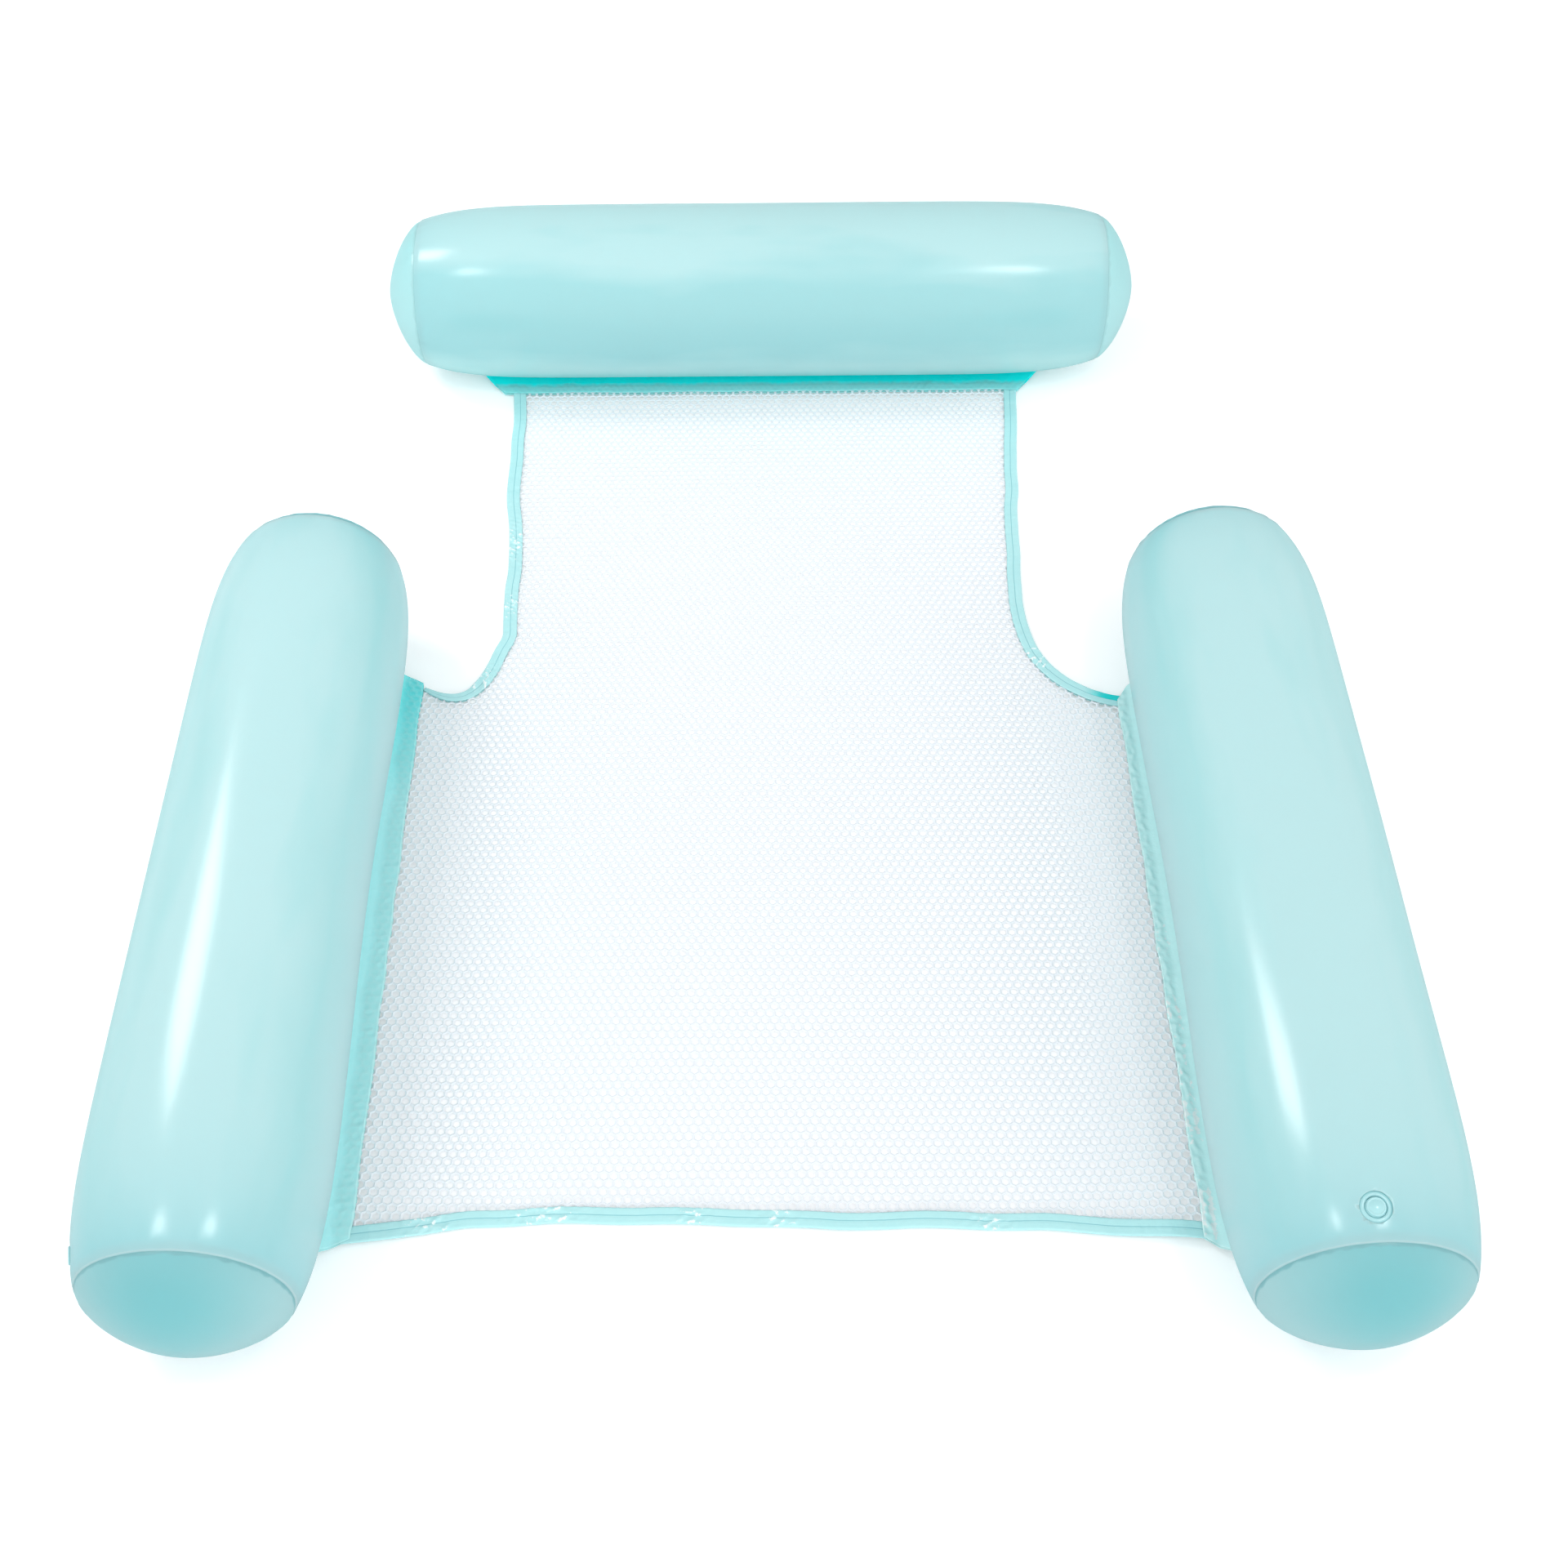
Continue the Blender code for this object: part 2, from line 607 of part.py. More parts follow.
def make_net(collection):
    """The net: one flat sheet with a field of hexagonal gaps inside a plain border."""
    curve = bpy.data.curves.new("net_seat", "CURVE")
    curve.dimensions = "2D"
    curve.fill_mode = "BOTH"
    curve.extrude = NET_THICKNESS / 2
    for points in [net_outline()] + net_gaps():
        add_spline(curve, points).use_cyclic_u = True
    place = Matrix.Translation((0, 0, FOLD_HEIGHT))
    return add_object("net_seat", curve, collection, NET_YARN, matrix=place)


def make_tape_section(cutters):
    """Section of the folded tape, a U open towards the net, as a guide that every tape follows.

    A bevel puts the section's X to the right of the path, so the U lies on the side of -X. Its Y
    is the height from the middle of the net.
    """
    low = GROUND_CLEARANCE - FOLD_HEIGHT
    high = UPPER_PLY_TOP - FOLD_HEIGHT
    points = [(0, low), (-TAPE_WIDTH, low), (-TAPE_WIDTH, low + TAPE), (-TAPE, low + TAPE),
              (-TAPE, high - TAPE), (-TAPE_WIDTH, high - TAPE), (-TAPE_WIDTH, high), (0, high)]
    curve = bpy.data.curves.new("tape_section", "CURVE")
    curve.dimensions = "2D"
    add_spline(curve, points).use_cyclic_u = True
    section = add_object("tape_section", curve, cutters)
    hide_as_cutter(section)
    return section


def make_tape(name, path, section, collection):
    """Tape folded over an edge: its section carried along a path, with the net on the left side."""
    curve = bpy.data.curves.new(name, "CURVE")
    curve.dimensions = "3D"
    curve.twist_mode = "Z_UP"
    curve.bevel_mode = "OBJECT"
    curve.bevel_object = section
    curve.use_fill_caps = True
    add_spline(curve, path)
    return add_object(name, curve, collection, TAPE_VINYL,
                      matrix=Matrix.Translation((0, 0, FOLD_HEIGHT)))


def make_tapes(collection, cutters):
    """Front tape between the arm strips, and one tape round each armhole up to the headrest."""
    section = make_tape_section(cutters)
    end_x = arm_line_x(ARM_STRIP_REACH, FRONT_EDGE_Y) - TAPE_END_GAP
    across = [end_x * (2 * i / FRONT_STEPS - 1) for i in range(FRONT_STEPS + 1)]
    make_tape("front_binding", [(x, front_y(x)) for x in across], section, collection)
    top, arc = armhole_points(0)
    down, out = neck_direction()
    top = top + down * TAPE_END_GAP
    stop_x = arm_line_x(ARM_STRIP_REACH, SHOULDER_Y) - TAPE_END_GAP
    line = [top] + [p for p in arc if p.x < stop_x]
    make_tape("right_neck_binding", [(p.x, p.y) for p in reversed(line)], section, collection)
    make_tape("left_neck_binding", [(-p.x, p.y) for p in line], section, collection)


def main():
    clear_scene()
    collection = make_collection("water_hammock")
    cutters = make_collection("water_hammock_cutters")
    make_net(collection)
    make_tapes(collection, cutters)
    make_float("headrest", headrest_frame(), HEADREST_HALF_LENGTH, ("right", "left"),
               HEADREST_STRIP_REACH, HEADREST_NET_EDGE, HEADREST_STRIP_HALF_LENGTH,
               HEADREST_WELD_FACET, HEADREST_WELD_SHARES, 1, OUTER_SIDE_VALVE_ANGLE,
               collection, cutters)
    make_float("right_arm", arm_frame(1), ARM_HALF_LENGTH, ("near", "far"),
               ARM_STRIP_REACH, ARM_NET_EDGE, ARM_STRIP_HALF_LENGTH,
               ARM_WELD_FACET, ARM_WELD_SHARES, 1, RIGHT_ARM_VALVE_ANGLE,
               collection, cutters)
    make_float("left_arm", arm_frame(-1), ARM_HALF_LENGTH, ("far", "near"),
               ARM_STRIP_REACH, ARM_NET_EDGE, ARM_STRIP_HALF_LENGTH,
               ARM_WELD_FACET, ARM_WELD_SHARES, -1, OUTER_SIDE_VALVE_ANGLE,
               collection, cutters)


main()
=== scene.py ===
"""Inflatable water hammock, dressed for its picture.

Three air-filled vinyl floats, a headrest and two arms, hold a seat of white hexagonal mesh between
them. Two plies of teal vinyl film clamp each edge of the mesh to its float, and folded vinyl tape
finishes the free edges. The hammock lies on a white studio floor, mesh up, with the headrest at the
far side.
"""

import json

import bmesh
import bpy
import numpy as np
from mathutils import Matrix, Vector


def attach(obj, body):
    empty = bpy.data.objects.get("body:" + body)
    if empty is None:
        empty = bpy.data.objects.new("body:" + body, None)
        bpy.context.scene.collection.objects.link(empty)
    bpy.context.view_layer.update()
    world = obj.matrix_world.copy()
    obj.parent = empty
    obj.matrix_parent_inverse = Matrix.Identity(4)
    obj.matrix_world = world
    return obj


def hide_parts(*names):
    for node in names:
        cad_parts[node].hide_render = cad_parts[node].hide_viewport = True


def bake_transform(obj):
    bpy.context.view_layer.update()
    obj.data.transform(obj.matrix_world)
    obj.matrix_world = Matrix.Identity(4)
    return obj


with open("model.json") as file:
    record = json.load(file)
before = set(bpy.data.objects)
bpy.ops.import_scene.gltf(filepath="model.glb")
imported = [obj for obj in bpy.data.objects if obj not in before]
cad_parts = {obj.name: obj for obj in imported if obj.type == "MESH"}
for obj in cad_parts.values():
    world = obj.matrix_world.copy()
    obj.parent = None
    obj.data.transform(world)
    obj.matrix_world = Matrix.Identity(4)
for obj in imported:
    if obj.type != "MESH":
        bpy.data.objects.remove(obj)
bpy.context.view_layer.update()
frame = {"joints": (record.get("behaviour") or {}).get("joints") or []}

# Float sleeves. Each float is a tube of soft PVC film, about 0.3 mm thick, pulled in at both ends
# by the round end pieces. Blown tight, it is smooth in the middle, puckers a little next to the end
# seams and is flat where it rests. The arms have a slight waist where the seat pulls at them.
FLOAT_RADIUS = 0.092
FLOAT_SIDES = 24
AXIS_HEIGHT = FLOAT_RADIUS * np.cos(np.pi / FLOAT_SIDES)
AROUND_STEPS = 160
ALONG_STEPS = 191
SEAM_SHARE = 0.835
DRAW_IN_POWER = 8.7
SEAM_DROP = 0.0009
LIP_PLACES = 0.001 * np.array([0.0, 0.35, 0.8, 1.4])
PUCKER_HEIGHT = 0.00022
PUCKER_LENGTH = 0.011
FILM = 0.0004
WAIST_LENGTH = 0.19
WAIST_ANGLE = 1.87
WAIST_SPREAD = 0.60
FLOATS = {
    "headrest": {"centre": (0.0, 0.5523), "turn": 0.0, "half": 0.3680, "waist": 0.0,
                 "ends": ("right", "left"), "seed": 3},
    "right_arm": {"centre": (0.4187, -0.2431), "turn": -90.5, "half": 0.3604, "waist": 0.0042,
                  "ends": ("near", "far"), "seed": 11},
    "left_arm": {"centre": (-0.4187, -0.2431), "turn": 90.5, "half": 0.3604, "waist": 0.0058,
                 "ends": ("far", "near"), "seed": 7},
}
# Painted light and shade by height on the floats' film: pale on top, where the lamps fall, deeper
# down the sides, and pale near the ground, where the floor's light falls. The headrest's copy is
# painted deeper half-way up, a painted reflection of the darker room.
ARM_HEIGHT_SHADING = ((0.060, "#ECFAFB"), (0.115, "#DFF9FA"), (0.148, "#D6F8F9"), (0.174, "#E2FBFC"))
HEAD_HEIGHT_SHADING = ((0.045, "#E0FCFC"), (0.085, "#C8F2F4"), (0.145, "#C8F2F4"), (0.172, "#DEF9FA"))
# Painted sheen: a thin white line painted on the lip of each end seam, faint on the headrest.
SEAM_SHEEN = "#FFFFFF"
SHEEN_SHARE = {"headrest": 0.05, "right_arm": 0.40, "left_arm": 0.40}
SHEEN_PLACE = 0.0008
SHEEN_WIDTH = 0.0006
# Painted shade next to the end seams: deepest at the arms' near ends, which tilt away from the
# lamps.
END_SHADE_COLOUR = "#AEE9EE"
END_SHADE_SHARE = {"near": 0.65, "far": 0.25, "left": 0.20, "right": 0.10}
END_SHADE_LENGTH = 0.038
FILM_CLOUD = 0.160
FILM_DRIFT = 0.07
FILM_GRAIN = 0.0016
FILM_THROUGH = 0.5
PVC_IOR = 1.53


def linear(code):
    """An sRGB hex colour as linear red, green, blue and full alpha."""
    srgb = [int(code[i:i + 2], 16) / 255 for i in (1, 3, 5)]
    return [c / 12.92 if c <= 0.04045 else ((c + 0.055) / 1.055) ** 2.4 for c in srgb] + [1.0]


def add_node(tree, kind, settings=None, links=None):
    """A shader node of this kind, with its settings or input values, and its inputs' sources."""
    node = tree.nodes.new("ShaderNode" + kind)
    for name, value in (settings or {}).items():
        if isinstance(name, int) or name in node.inputs:
            node.inputs[name].default_value = value
        else:
            setattr(node, name, value)
    for name, source in (links or {}).items():
        tree.links.new(source, node.inputs[name])
    return node


def new_material(name, settings):
    """A node material, its tree, and its shader with these values on the shader's own sockets."""
    material = bpy.data.materials.new(name)
    material.use_nodes = True
    shader = material.node_tree.nodes["Principled BSDF"]
    for socket, value in settings.items():
        shader.inputs[socket].default_value = value
    return material, material.node_tree, shader


def clouds(tree, size, detail=2.0, stretch=(1.0, 1.0, 1.0)):
    """Noise on object coordinates whose blotches are about size metres across."""
    place = add_node(tree, "TexCoord")
    scaled = add_node(tree, "Mapping", {"Scale": [s / size for s in stretch]},
                      {"Vector": place.outputs["Object"]})
    return add_node(tree, "TexNoise", {"Scale": 1.0, "Detail": detail},
                    {"Vector": scaled.outputs["Vector"]})


def let_light_through(tree, shader, colour, share):
    """Mix a Translucent shader of the same colour in front of the output: the film is milky, so
    this share of the light that it doesn't mirror comes from behind it."""
    behind = add_node(tree, "BsdfTranslucent", None, {"Color": colour})
    both = add_node(tree, "MixShader", {0: share},
                    {1: shader.outputs["BSDF"], 2: behind.outputs["BSDF"]})
    tree.links.new(both.outputs["Shader"], tree.nodes["Material Output"].inputs["Surface"])


def blown_film(name, height_shading, stretch):
    """Soft PVC film, calendered and blown tight: a soft gloss over an even, milky colour.

    The listed (height, colour) pairs paint light and shade by height: pale on top, where the
    lamps fall, deeper down the sides and pale again near the ground, where the floor's light is
    painted. The heights drift by 15 mm in bands of 4 by 16 cm, which stretch makes run along the
    float, as the film was rolled. Next to the end seams the film is painted deeper, a painted
    shade, and the lip of each seam carries a painted sheen, a thin white line. The gloss has a
    faint orange peel of 1.6 mm, drawn about twice as coarse as real.
    """
    material, tree, shader = new_material(name, {"Roughness": 0.20, "IOR": PVC_IOR,
                                                 "Specular IOR Level": 1.0})
    place = add_node(tree, "TexCoord")
    split = add_node(tree, "SeparateXYZ", None, {"Vector": place.outputs["Object"]})
    drift = clouds(tree, FILM_CLOUD, stretch=stretch)
    wander = add_node(tree, "Math",
                      {"operation": "MULTIPLY_ADD", 1: FILM_DRIFT, 2: -FILM_DRIFT / 2},
                      {0: drift.outputs["Fac"]})
    height = add_node(tree, "Math", {"operation": "ADD"},
                      {0: wander.outputs[0], 1: split.outputs["Z"]})
    share = add_node(tree, "MapRange", {"From Max": 2 * FLOAT_RADIUS}, {"Value": height.outputs[0]})
    colour = add_node(tree, "ValToRGB", None, {"Fac": share.outputs["Result"]})
    stops = colour.color_ramp.elements
    while len(stops) < len(height_shading):
        stops.new(0.5)
    for stop, (above, code) in zip(stops, height_shading):
        stop.position = above / (2 * FLOAT_RADIUS)
        stop.color = linear(code)
    # Painted shade deepens the film next to the end seams, and a painted sheen whitens the lip of
    # each seam.
    end_shade = add_node(tree, "Attribute", {"attribute_name": "end_shade"})
    end_shaded = add_node(tree, "Mix", {"data_type": "RGBA", 7: linear(END_SHADE_COLOUR)},
                        {0: end_shade.outputs["Fac"], 6: colour.outputs["Color"]})
    seam_shading = add_node(tree, "Attribute", {"attribute_name": "seam_shading"})
    film = add_node(tree, "Mix", {"data_type": "RGBA", 7: linear(SEAM_SHEEN)},
                    {0: seam_shading.outputs["Fac"], 6: end_shaded.outputs[2]})
    peel = clouds(tree, FILM_GRAIN, 1.0)
    bump = add_node(tree, "Bump", {"Strength": 0.02, "Distance": 0.0002},
                    {"Height": peel.outputs["Fac"]})
    tree.links.new(film.outputs[2], shader.inputs["Base Color"])
    tree.links.new(bump.outputs["Normal"], shader.inputs["Normal"])
    let_light_through(tree, shader, film.outputs[2], FILM_THROUGH)
    return material


def grid_mesh(name, points, material, wrap=False, uv=None, marks=None):
    """A surface through an array of points (rows, columns, 3), smooth, one quad to each cell.

    With wrap, the last column joins the first. uv is an array (rows, columns, 2), and marks holds
    arrays (rows, columns) that the material reads as attributes of those names.
    """
    rows, columns = points.shape[:2]
    index = np.arange(rows * columns).reshape(rows, columns)
    if wrap:
        index = np.concatenate([index, index[:, :1]], axis=1)
    quads = np.stack([index[:-1, :-1], index[:-1, 1:], index[1:, 1:], index[1:, :-1]], axis=-1)
    mesh = bpy.data.meshes.new(name)
    mesh.from_pydata(points.reshape(-1, 3).tolist(), [], quads.reshape(-1, 4).tolist())
    if uv is not None:
        layer = mesh.uv_layers.new(name="along_across")
        corners = np.empty(len(mesh.loops), dtype=np.int32)
        mesh.loops.foreach_get("vertex_index", corners)
        layer.data.foreach_set("uv", uv.reshape(-1, 2)[corners].ravel())
    for mark, values in (marks or {}).items():
        layer = mesh.attributes.new(mark, "FLOAT", "POINT")
        layer.data.foreach_set("value", values.astype(np.float32).ravel())
    mesh.shade_smooth()
    mesh.materials.append(material)
    piece = bpy.data.objects.new(name, mesh)
    bpy.context.scene.collection.objects.link(piece)
    return piece


def merge_points(piece):
    """Weld points that coincide to 0.01 mm, as at the pole of a dome."""
    shape = bmesh.new()
    shape.from_mesh(piece.data)
    bmesh.ops.remove_doubles(shape, verts=shape.verts, dist=0.00001)
    shape.to_mesh(piece.data)
    shape.free()


def give_wall(piece, thickness, offset=-1.0):
    """Give an open film its thickness: inwards from its surface, or with offset 0 on both sides."""
    wall = piece.modifiers.new("Film", "SOLIDIFY")
    wall.thickness = thickness
    wall.offset = offset
    wall.use_even_offset = False


def ramp(value, start, length):
    """A share that goes from 0 at start to 1 a length further on, downwards if that is negative."""
    return np.clip((value - start) / length, 0, 1)


def to_world(name, along, towards, up):
    """From a float's own measures (along it, towards the seat, up) to the shared frame."""
    spec = FLOATS[name]
    turn = np.radians(spec["turn"])
    x = spec["centre"][0] + along * np.cos(turn) + towards * np.sin(turn)
    y = spec["centre"][1] + along * np.sin(turn) - towards * np.cos(turn)
    return np.stack(np.broadcast_arrays(x, y, up), axis=-1)


def film_radius(along, half):
    """Radius of the blown sleeve: full in the middle, drawn in by a power law to the end seam."""
    return FLOAT_RADIUS * (1 - (1 - SEAM_SHARE) * np.abs(along / half) ** DRAW_IN_POWER)


def puckers(angle, depth, seed):
    """Small radial folds next to a seam: three waves round the float, each of which swells and
    fades three times round it, that die out in 25 mm."""
    rng = np.random.default_rng(seed)
    total = 0.0
    for waves in (17, 29, 43):
        total = total + np.sin(waves * angle + rng.uniform(0, 2 * np.pi)) * (0.6 + 0.4 * np.sin(
            3 * angle + rng.uniform(0, 2 * np.pi)))
    return PUCKER_HEIGHT * total * np.exp(-depth / PUCKER_LENGTH) * ramp(depth, 0, 0.0015)


def sleeve(name, material):
    """The sleeve as a function of (along, angle): radius by the power law, plus puckers at the
    seams, a slow unevenness of 0.3 mm, and a rolled lip at each end seam; flat where it rests. The
    waist is a Gaussian hollow half-way along, a little below the middle of the seat side."""
    spec = FLOATS[name]
    half = spec["half"]
    even = np.linspace(-1, 1, ALONG_STEPS)
    closer_at_ends = np.sin(even * np.pi / 2) * 0.45 + even * 0.55
    along = np.concatenate([-half + LIP_PLACES, closer_at_ends[4:-4] * half,
                            (half - LIP_PLACES)[::-1]])
    along = np.unique(np.round(along, 6))
    angle = np.linspace(0, 2 * np.pi, AROUND_STEPS, endpoint=False)
    s, a = np.meshgrid(along, angle, indexing="ij")
    depth = half - np.abs(s)
    slow = 0.0003 * np.sin(2 * np.pi * s / 0.29 + 2 * np.sin(a + spec["seed"]))
    slow = slow * np.cos(2 * a + spec["seed"]) * ramp(depth, 0, 0.06)
    lip_drop = SEAM_DROP * np.exp(-(depth / 0.0007) ** 2)
    hollow = np.exp(-(s / WAIST_LENGTH) ** 2 - ((a - WAIST_ANGLE) / WAIST_SPREAD) ** 2)
    r = film_radius(s, half) + slow + puckers(a, depth, spec["seed"]) - lip_drop
    r = r - spec["waist"] * hollow
    up = np.maximum(AXIS_HEIGHT + r * np.cos(a), 0.0)
    points = to_world(name, s, r * np.sin(a), up)
    # Painted shade: the film is painted deeper towards each end seam, most at the arms' near ends.
    end_shade = np.where(s > 0, *(END_SHADE_SHARE[end] for end in spec["ends"]))
    # The seam's painted sheen and the painted shade next to the end seams, as attributes for the
    # material.
    marks = {"seam_shading": SHEEN_SHARE[name] * np.exp(-((depth - SHEEN_PLACE) / SHEEN_WIDTH) ** 2),
             "end_shade": end_shade * np.exp(-depth / END_SHADE_LENGTH)}
    piece = grid_mesh(f"{name}_sleeve_film", points, material, wrap=True, marks=marks)
    give_wall(piece, FILM)
    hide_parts(f"{name}_sleeve")
    return piece


arm_film = blown_film("blown PVC film, arm", ARM_HEIGHT_SHADING, (4, 1, 4))
head_film = blown_film("blown PVC film, headrest", HEAD_HEIGHT_SHADING, (1, 4, 4))
sleeves = {name: sleeve(name, head_film if name == "headrest" else arm_film) for name in FLOATS}

# End domes. A round piece of the same film closes each end of a float. It is welded inside the
# sleeve's end and bulges out under pressure. Its colour is painted deeper than the sleeve's, a
# painted shade, because it faces away from the lamps and is seen through to the unlit inside of
# the float, and a painted line of shade marks the corner where it meets the sleeve.
DOME_HEIGHT = 0.0385
DOME_POWER = 1.5
DOME_STEPS = 40
SKIRT_DEPTH = 0.006
SKIRT_INSET = 0.0012
# The end pieces' edge colour, their painted shade towards the unlit inside, and their painted line
# of shade at the seam.
ARM_DOME_COLOURS = ("#CCECEE", "#98E1E5", "#9FD8DC")
HEAD_DOME_COLOURS = ("#D6F8F9", "#CFF8F9", "#CDF2F3")
DEEP_PLACE = (0.0, 0.60, 0.0)
DEEP_RANGE = (0.15, 1.35)
DEEP_DRIFT = 0.16
SEAM_SHADE_RANGE = (0.988, 0.996)


def end_film(name, edge, deep, seam_shading, roughness):
    """The sleeve's film on an end piece, with painted shade. It is seen against the unlit inside of
    the float, so it is painted deeper from its edge towards a place 0.6 of its radius above the
    middle, and the corner next to the sleeve, where they are welded, carries a painted line of
    shade 0.6 mm wide."""
    material, tree, shader = new_material(name, {"Roughness": roughness, "IOR": PVC_IOR,
                                                 "Specular IOR Level": 1.0})
    place = add_node(tree, "UVMap", {"uv_map": "along_across"})
    away = add_node(tree, "VectorMath", {"operation": "DISTANCE", 1: DEEP_PLACE},
                    {0: place.outputs["UV"]})
    drift = clouds(tree, FILM_CLOUD / 3)
    wander = add_node(tree, "Math", {"operation": "MULTIPLY_ADD", 1: DEEP_DRIFT},
                      {0: drift.outputs["Fac"], 2: away.outputs["Value"]})
    fade = add_node(tree, "MapRange", {"From Min": DEEP_RANGE[0], "From Max": DEEP_RANGE[1],
                     "interpolation_type": "SMOOTHSTEP"}, {"Value": wander.outputs[0]})
    colour = add_node(tree, "Mix", {"data_type": "RGBA", 6: linear(deep), 7: linear(edge)},
                      {0: fade.outputs["Result"]})
    # Painted line of shade in the corner where the end piece meets the sleeve.
    spoke = add_node(tree, "VectorMath", {"operation": "LENGTH"}, {0: place.outputs["UV"]})
    rim = add_node(tree, "MapRange", {"From Min": SEAM_SHADE_RANGE[0], "From Max": SEAM_SHADE_RANGE[1]},
                   {"Value": spoke.outputs["Value"]})
    film = add_node(tree, "Mix", {"data_type": "RGBA", 7: linear(seam_shading)},
                    {0: rim.outputs["Result"], 6: colour.outputs[2]})
    tree.links.new(film.outputs[2], shader.inputs["Base Color"])
    let_light_through(tree, shader, film.outputs[2], FILM_THROUGH)
    return material


def dome(name, end, side, material):
    """The dome as a superellipse turned round the float: radius by cos, height by sin, both to the
    power 2 / 1.5, with puckers next to the seam and a short skirt inside the sleeve."""
    spec = FLOATS[name]
    half = spec["half"]
    seam = FLOAT_RADIUS * SEAM_SHARE - SEAM_DROP
    around = np.linspace(0, 2 * np.pi, AROUND_STEPS, endpoint=False)
    climb = np.linspace(0, 1, DOME_STEPS) ** 0.9 * np.pi / 2
    r = seam * np.cos(climb) ** (2 / DOME_POWER)
    height = DOME_HEIGHT * np.sin(climb) ** (2 / DOME_POWER)
    r = np.concatenate([[film_radius(half - SKIRT_DEPTH, half) - SKIRT_INSET, seam], r[1:]])
    height = np.concatenate([[-SKIRT_DEPTH, -0.0006], height[1:]])
    h, a = np.meshgrid(height, around, indexing="ij")
    radius = np.repeat(r[:, None], len(around), axis=1)
    depth = np.maximum(h, 0)
    radius = radius + 1.6 * puckers(a, depth, spec["seed"] + (50 if side > 0 else 90))
    radius[-1] = 0
    up = np.maximum(AXIS_HEIGHT + radius * np.cos(a), 0.0)
    points = to_world(name, side * (half + h), radius * np.sin(a), up)
    uv = np.stack([radius * np.sin(a), radius * np.cos(a)], axis=-1) / seam
    if side < 0:
        points, uv = points[:, ::-1], uv[:, ::-1]
    piece = grid_mesh(f"{name}_{end}_dome", points, material, wrap=True, uv=uv)
    merge_points(piece)
    give_wall(piece, FILM)
    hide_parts(f"{name}_{end}_end")
    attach(piece, name)


arm_dome_film = end_film("blown PVC film, arm end", *ARM_DOME_COLOURS, 0.32)
head_dome_film = end_film("blown PVC film, headrest end", *HEAD_DOME_COLOURS, 0.28)
for float_name, float_spec in FLOATS.items():
    for end, side in zip(float_spec["ends"], (1, -1)):
        dome(float_name, end, side, head_dome_film if float_name == "headrest" else arm_dome_film)

# Valves. Each float is blown up through a soft moulded PVC valve, welded inside a round hole in
# the sleeve: a flange with a collar, a stem that pulls out to be blown into and pushes back flush,
# and a plug that swings open. The moulding is clear, so it takes the colour of the film.
VALVE_HOLE = 0.0110
VALVE_TURN_STEPS = 72
PLUG_HINGE_REACH = 0.0088
PLUG_HINGE_HEIGHT = 0.0011
VALVE_COLOURS = ("#ACDEE2", "#A6DADE")
HOLE_PROFILE = [(0, -0.004), (VALVE_HOLE, -0.004), (VALVE_HOLE, 0.006), (0, 0.006)]
FLANGE_PROFILE = [
    (0.0139, -0.0008), (0.0118, -0.0005), (0.0109, -0.0004), (0.0106, 0.0002), (0.0080, 0.0003),
    (0.0075, -0.0001), (0.0075, -0.0056), (0.0080, -0.0060), (0.0088, -0.0060), (0.0092, -0.0056),
    (0.0092, -0.0016), (0.0100, -0.0012), (0.0134, -0.0013)]
STEM_PROFILE = [
    (0.0040, -0.0236), (0.0044, -0.0240), (0.0088, -0.0239), (0.0090, -0.0232), (0.0088, -0.0228),
    (0.0074, -0.0226), (0.0071, -0.0220), (0.0072, -0.0006), (0.0066, 0.0), (0.0044, 0.0),
    (0.0040, -0.0004)]
PLUG_PROFILE = [
    (0.0, -0.0050), (0.0024, -0.0050), (0.0029, -0.0046), (0.0036, -0.0020), (0.0037, 0.0003),
    (0.0062, 0.0003), (0.0066, 0.0007), (0.0066, 0.0014), (0.0061, 0.0019), (0.0054, 0.0019),
    (0.0050, 0.0016), (0.0046, 0.0019), (0.0, 0.0019)]


def valve_frame(name):
    """The valve's own frame: origin on the flange, Z out of the float, X to the float's middle."""
    joint = {j["name"]: j for j in frame["joints"]}
    out = Vector(joint[f"{name}_valve_pull"]["axis"]).normalized()
    hinge = Vector(joint[f"{name}_plug_open"]["axis"]).normalized()
    inward = hinge.cross(out)
    pivot = Vector(joint[f"{name}_plug_open"]["pos_m"])
    place = Matrix((inward, hinge, out)).transposed().to_4x4()
    place.translation = pivot - inward * PLUG_HINGE_REACH - out * PLUG_HINGE_HEIGHT
    return place


def turned_piece(name, profile, place, material, closed=True, bent=0.0):
    """A moulding turned round its own Z from a profile of (radius, height).

    With bent, it follows the float: it drops by that share of y squared over twice the float's
    radius, for y measured across the float."""
    profile = np.array(profile)
    if closed:
        profile = np.concatenate([profile, profile[:1]])
    around = np.linspace(0, 2 * np.pi, VALVE_TURN_STEPS, endpoint=False)
    x = profile[:, :1] * np.cos(around)
    y = profile[:, :1] * np.sin(around)
    z = np.repeat(profile[:, 1:], VALVE_TURN_STEPS, axis=1) - bent * y ** 2 / (2 * FLOAT_RADIUS)
    points = np.stack([x, y, z, np.ones_like(x)], axis=-1) @ np.array(place).T
    piece = grid_mesh(name, points[..., :3], material, wrap=True)
    merge_points(piece)
    return piece


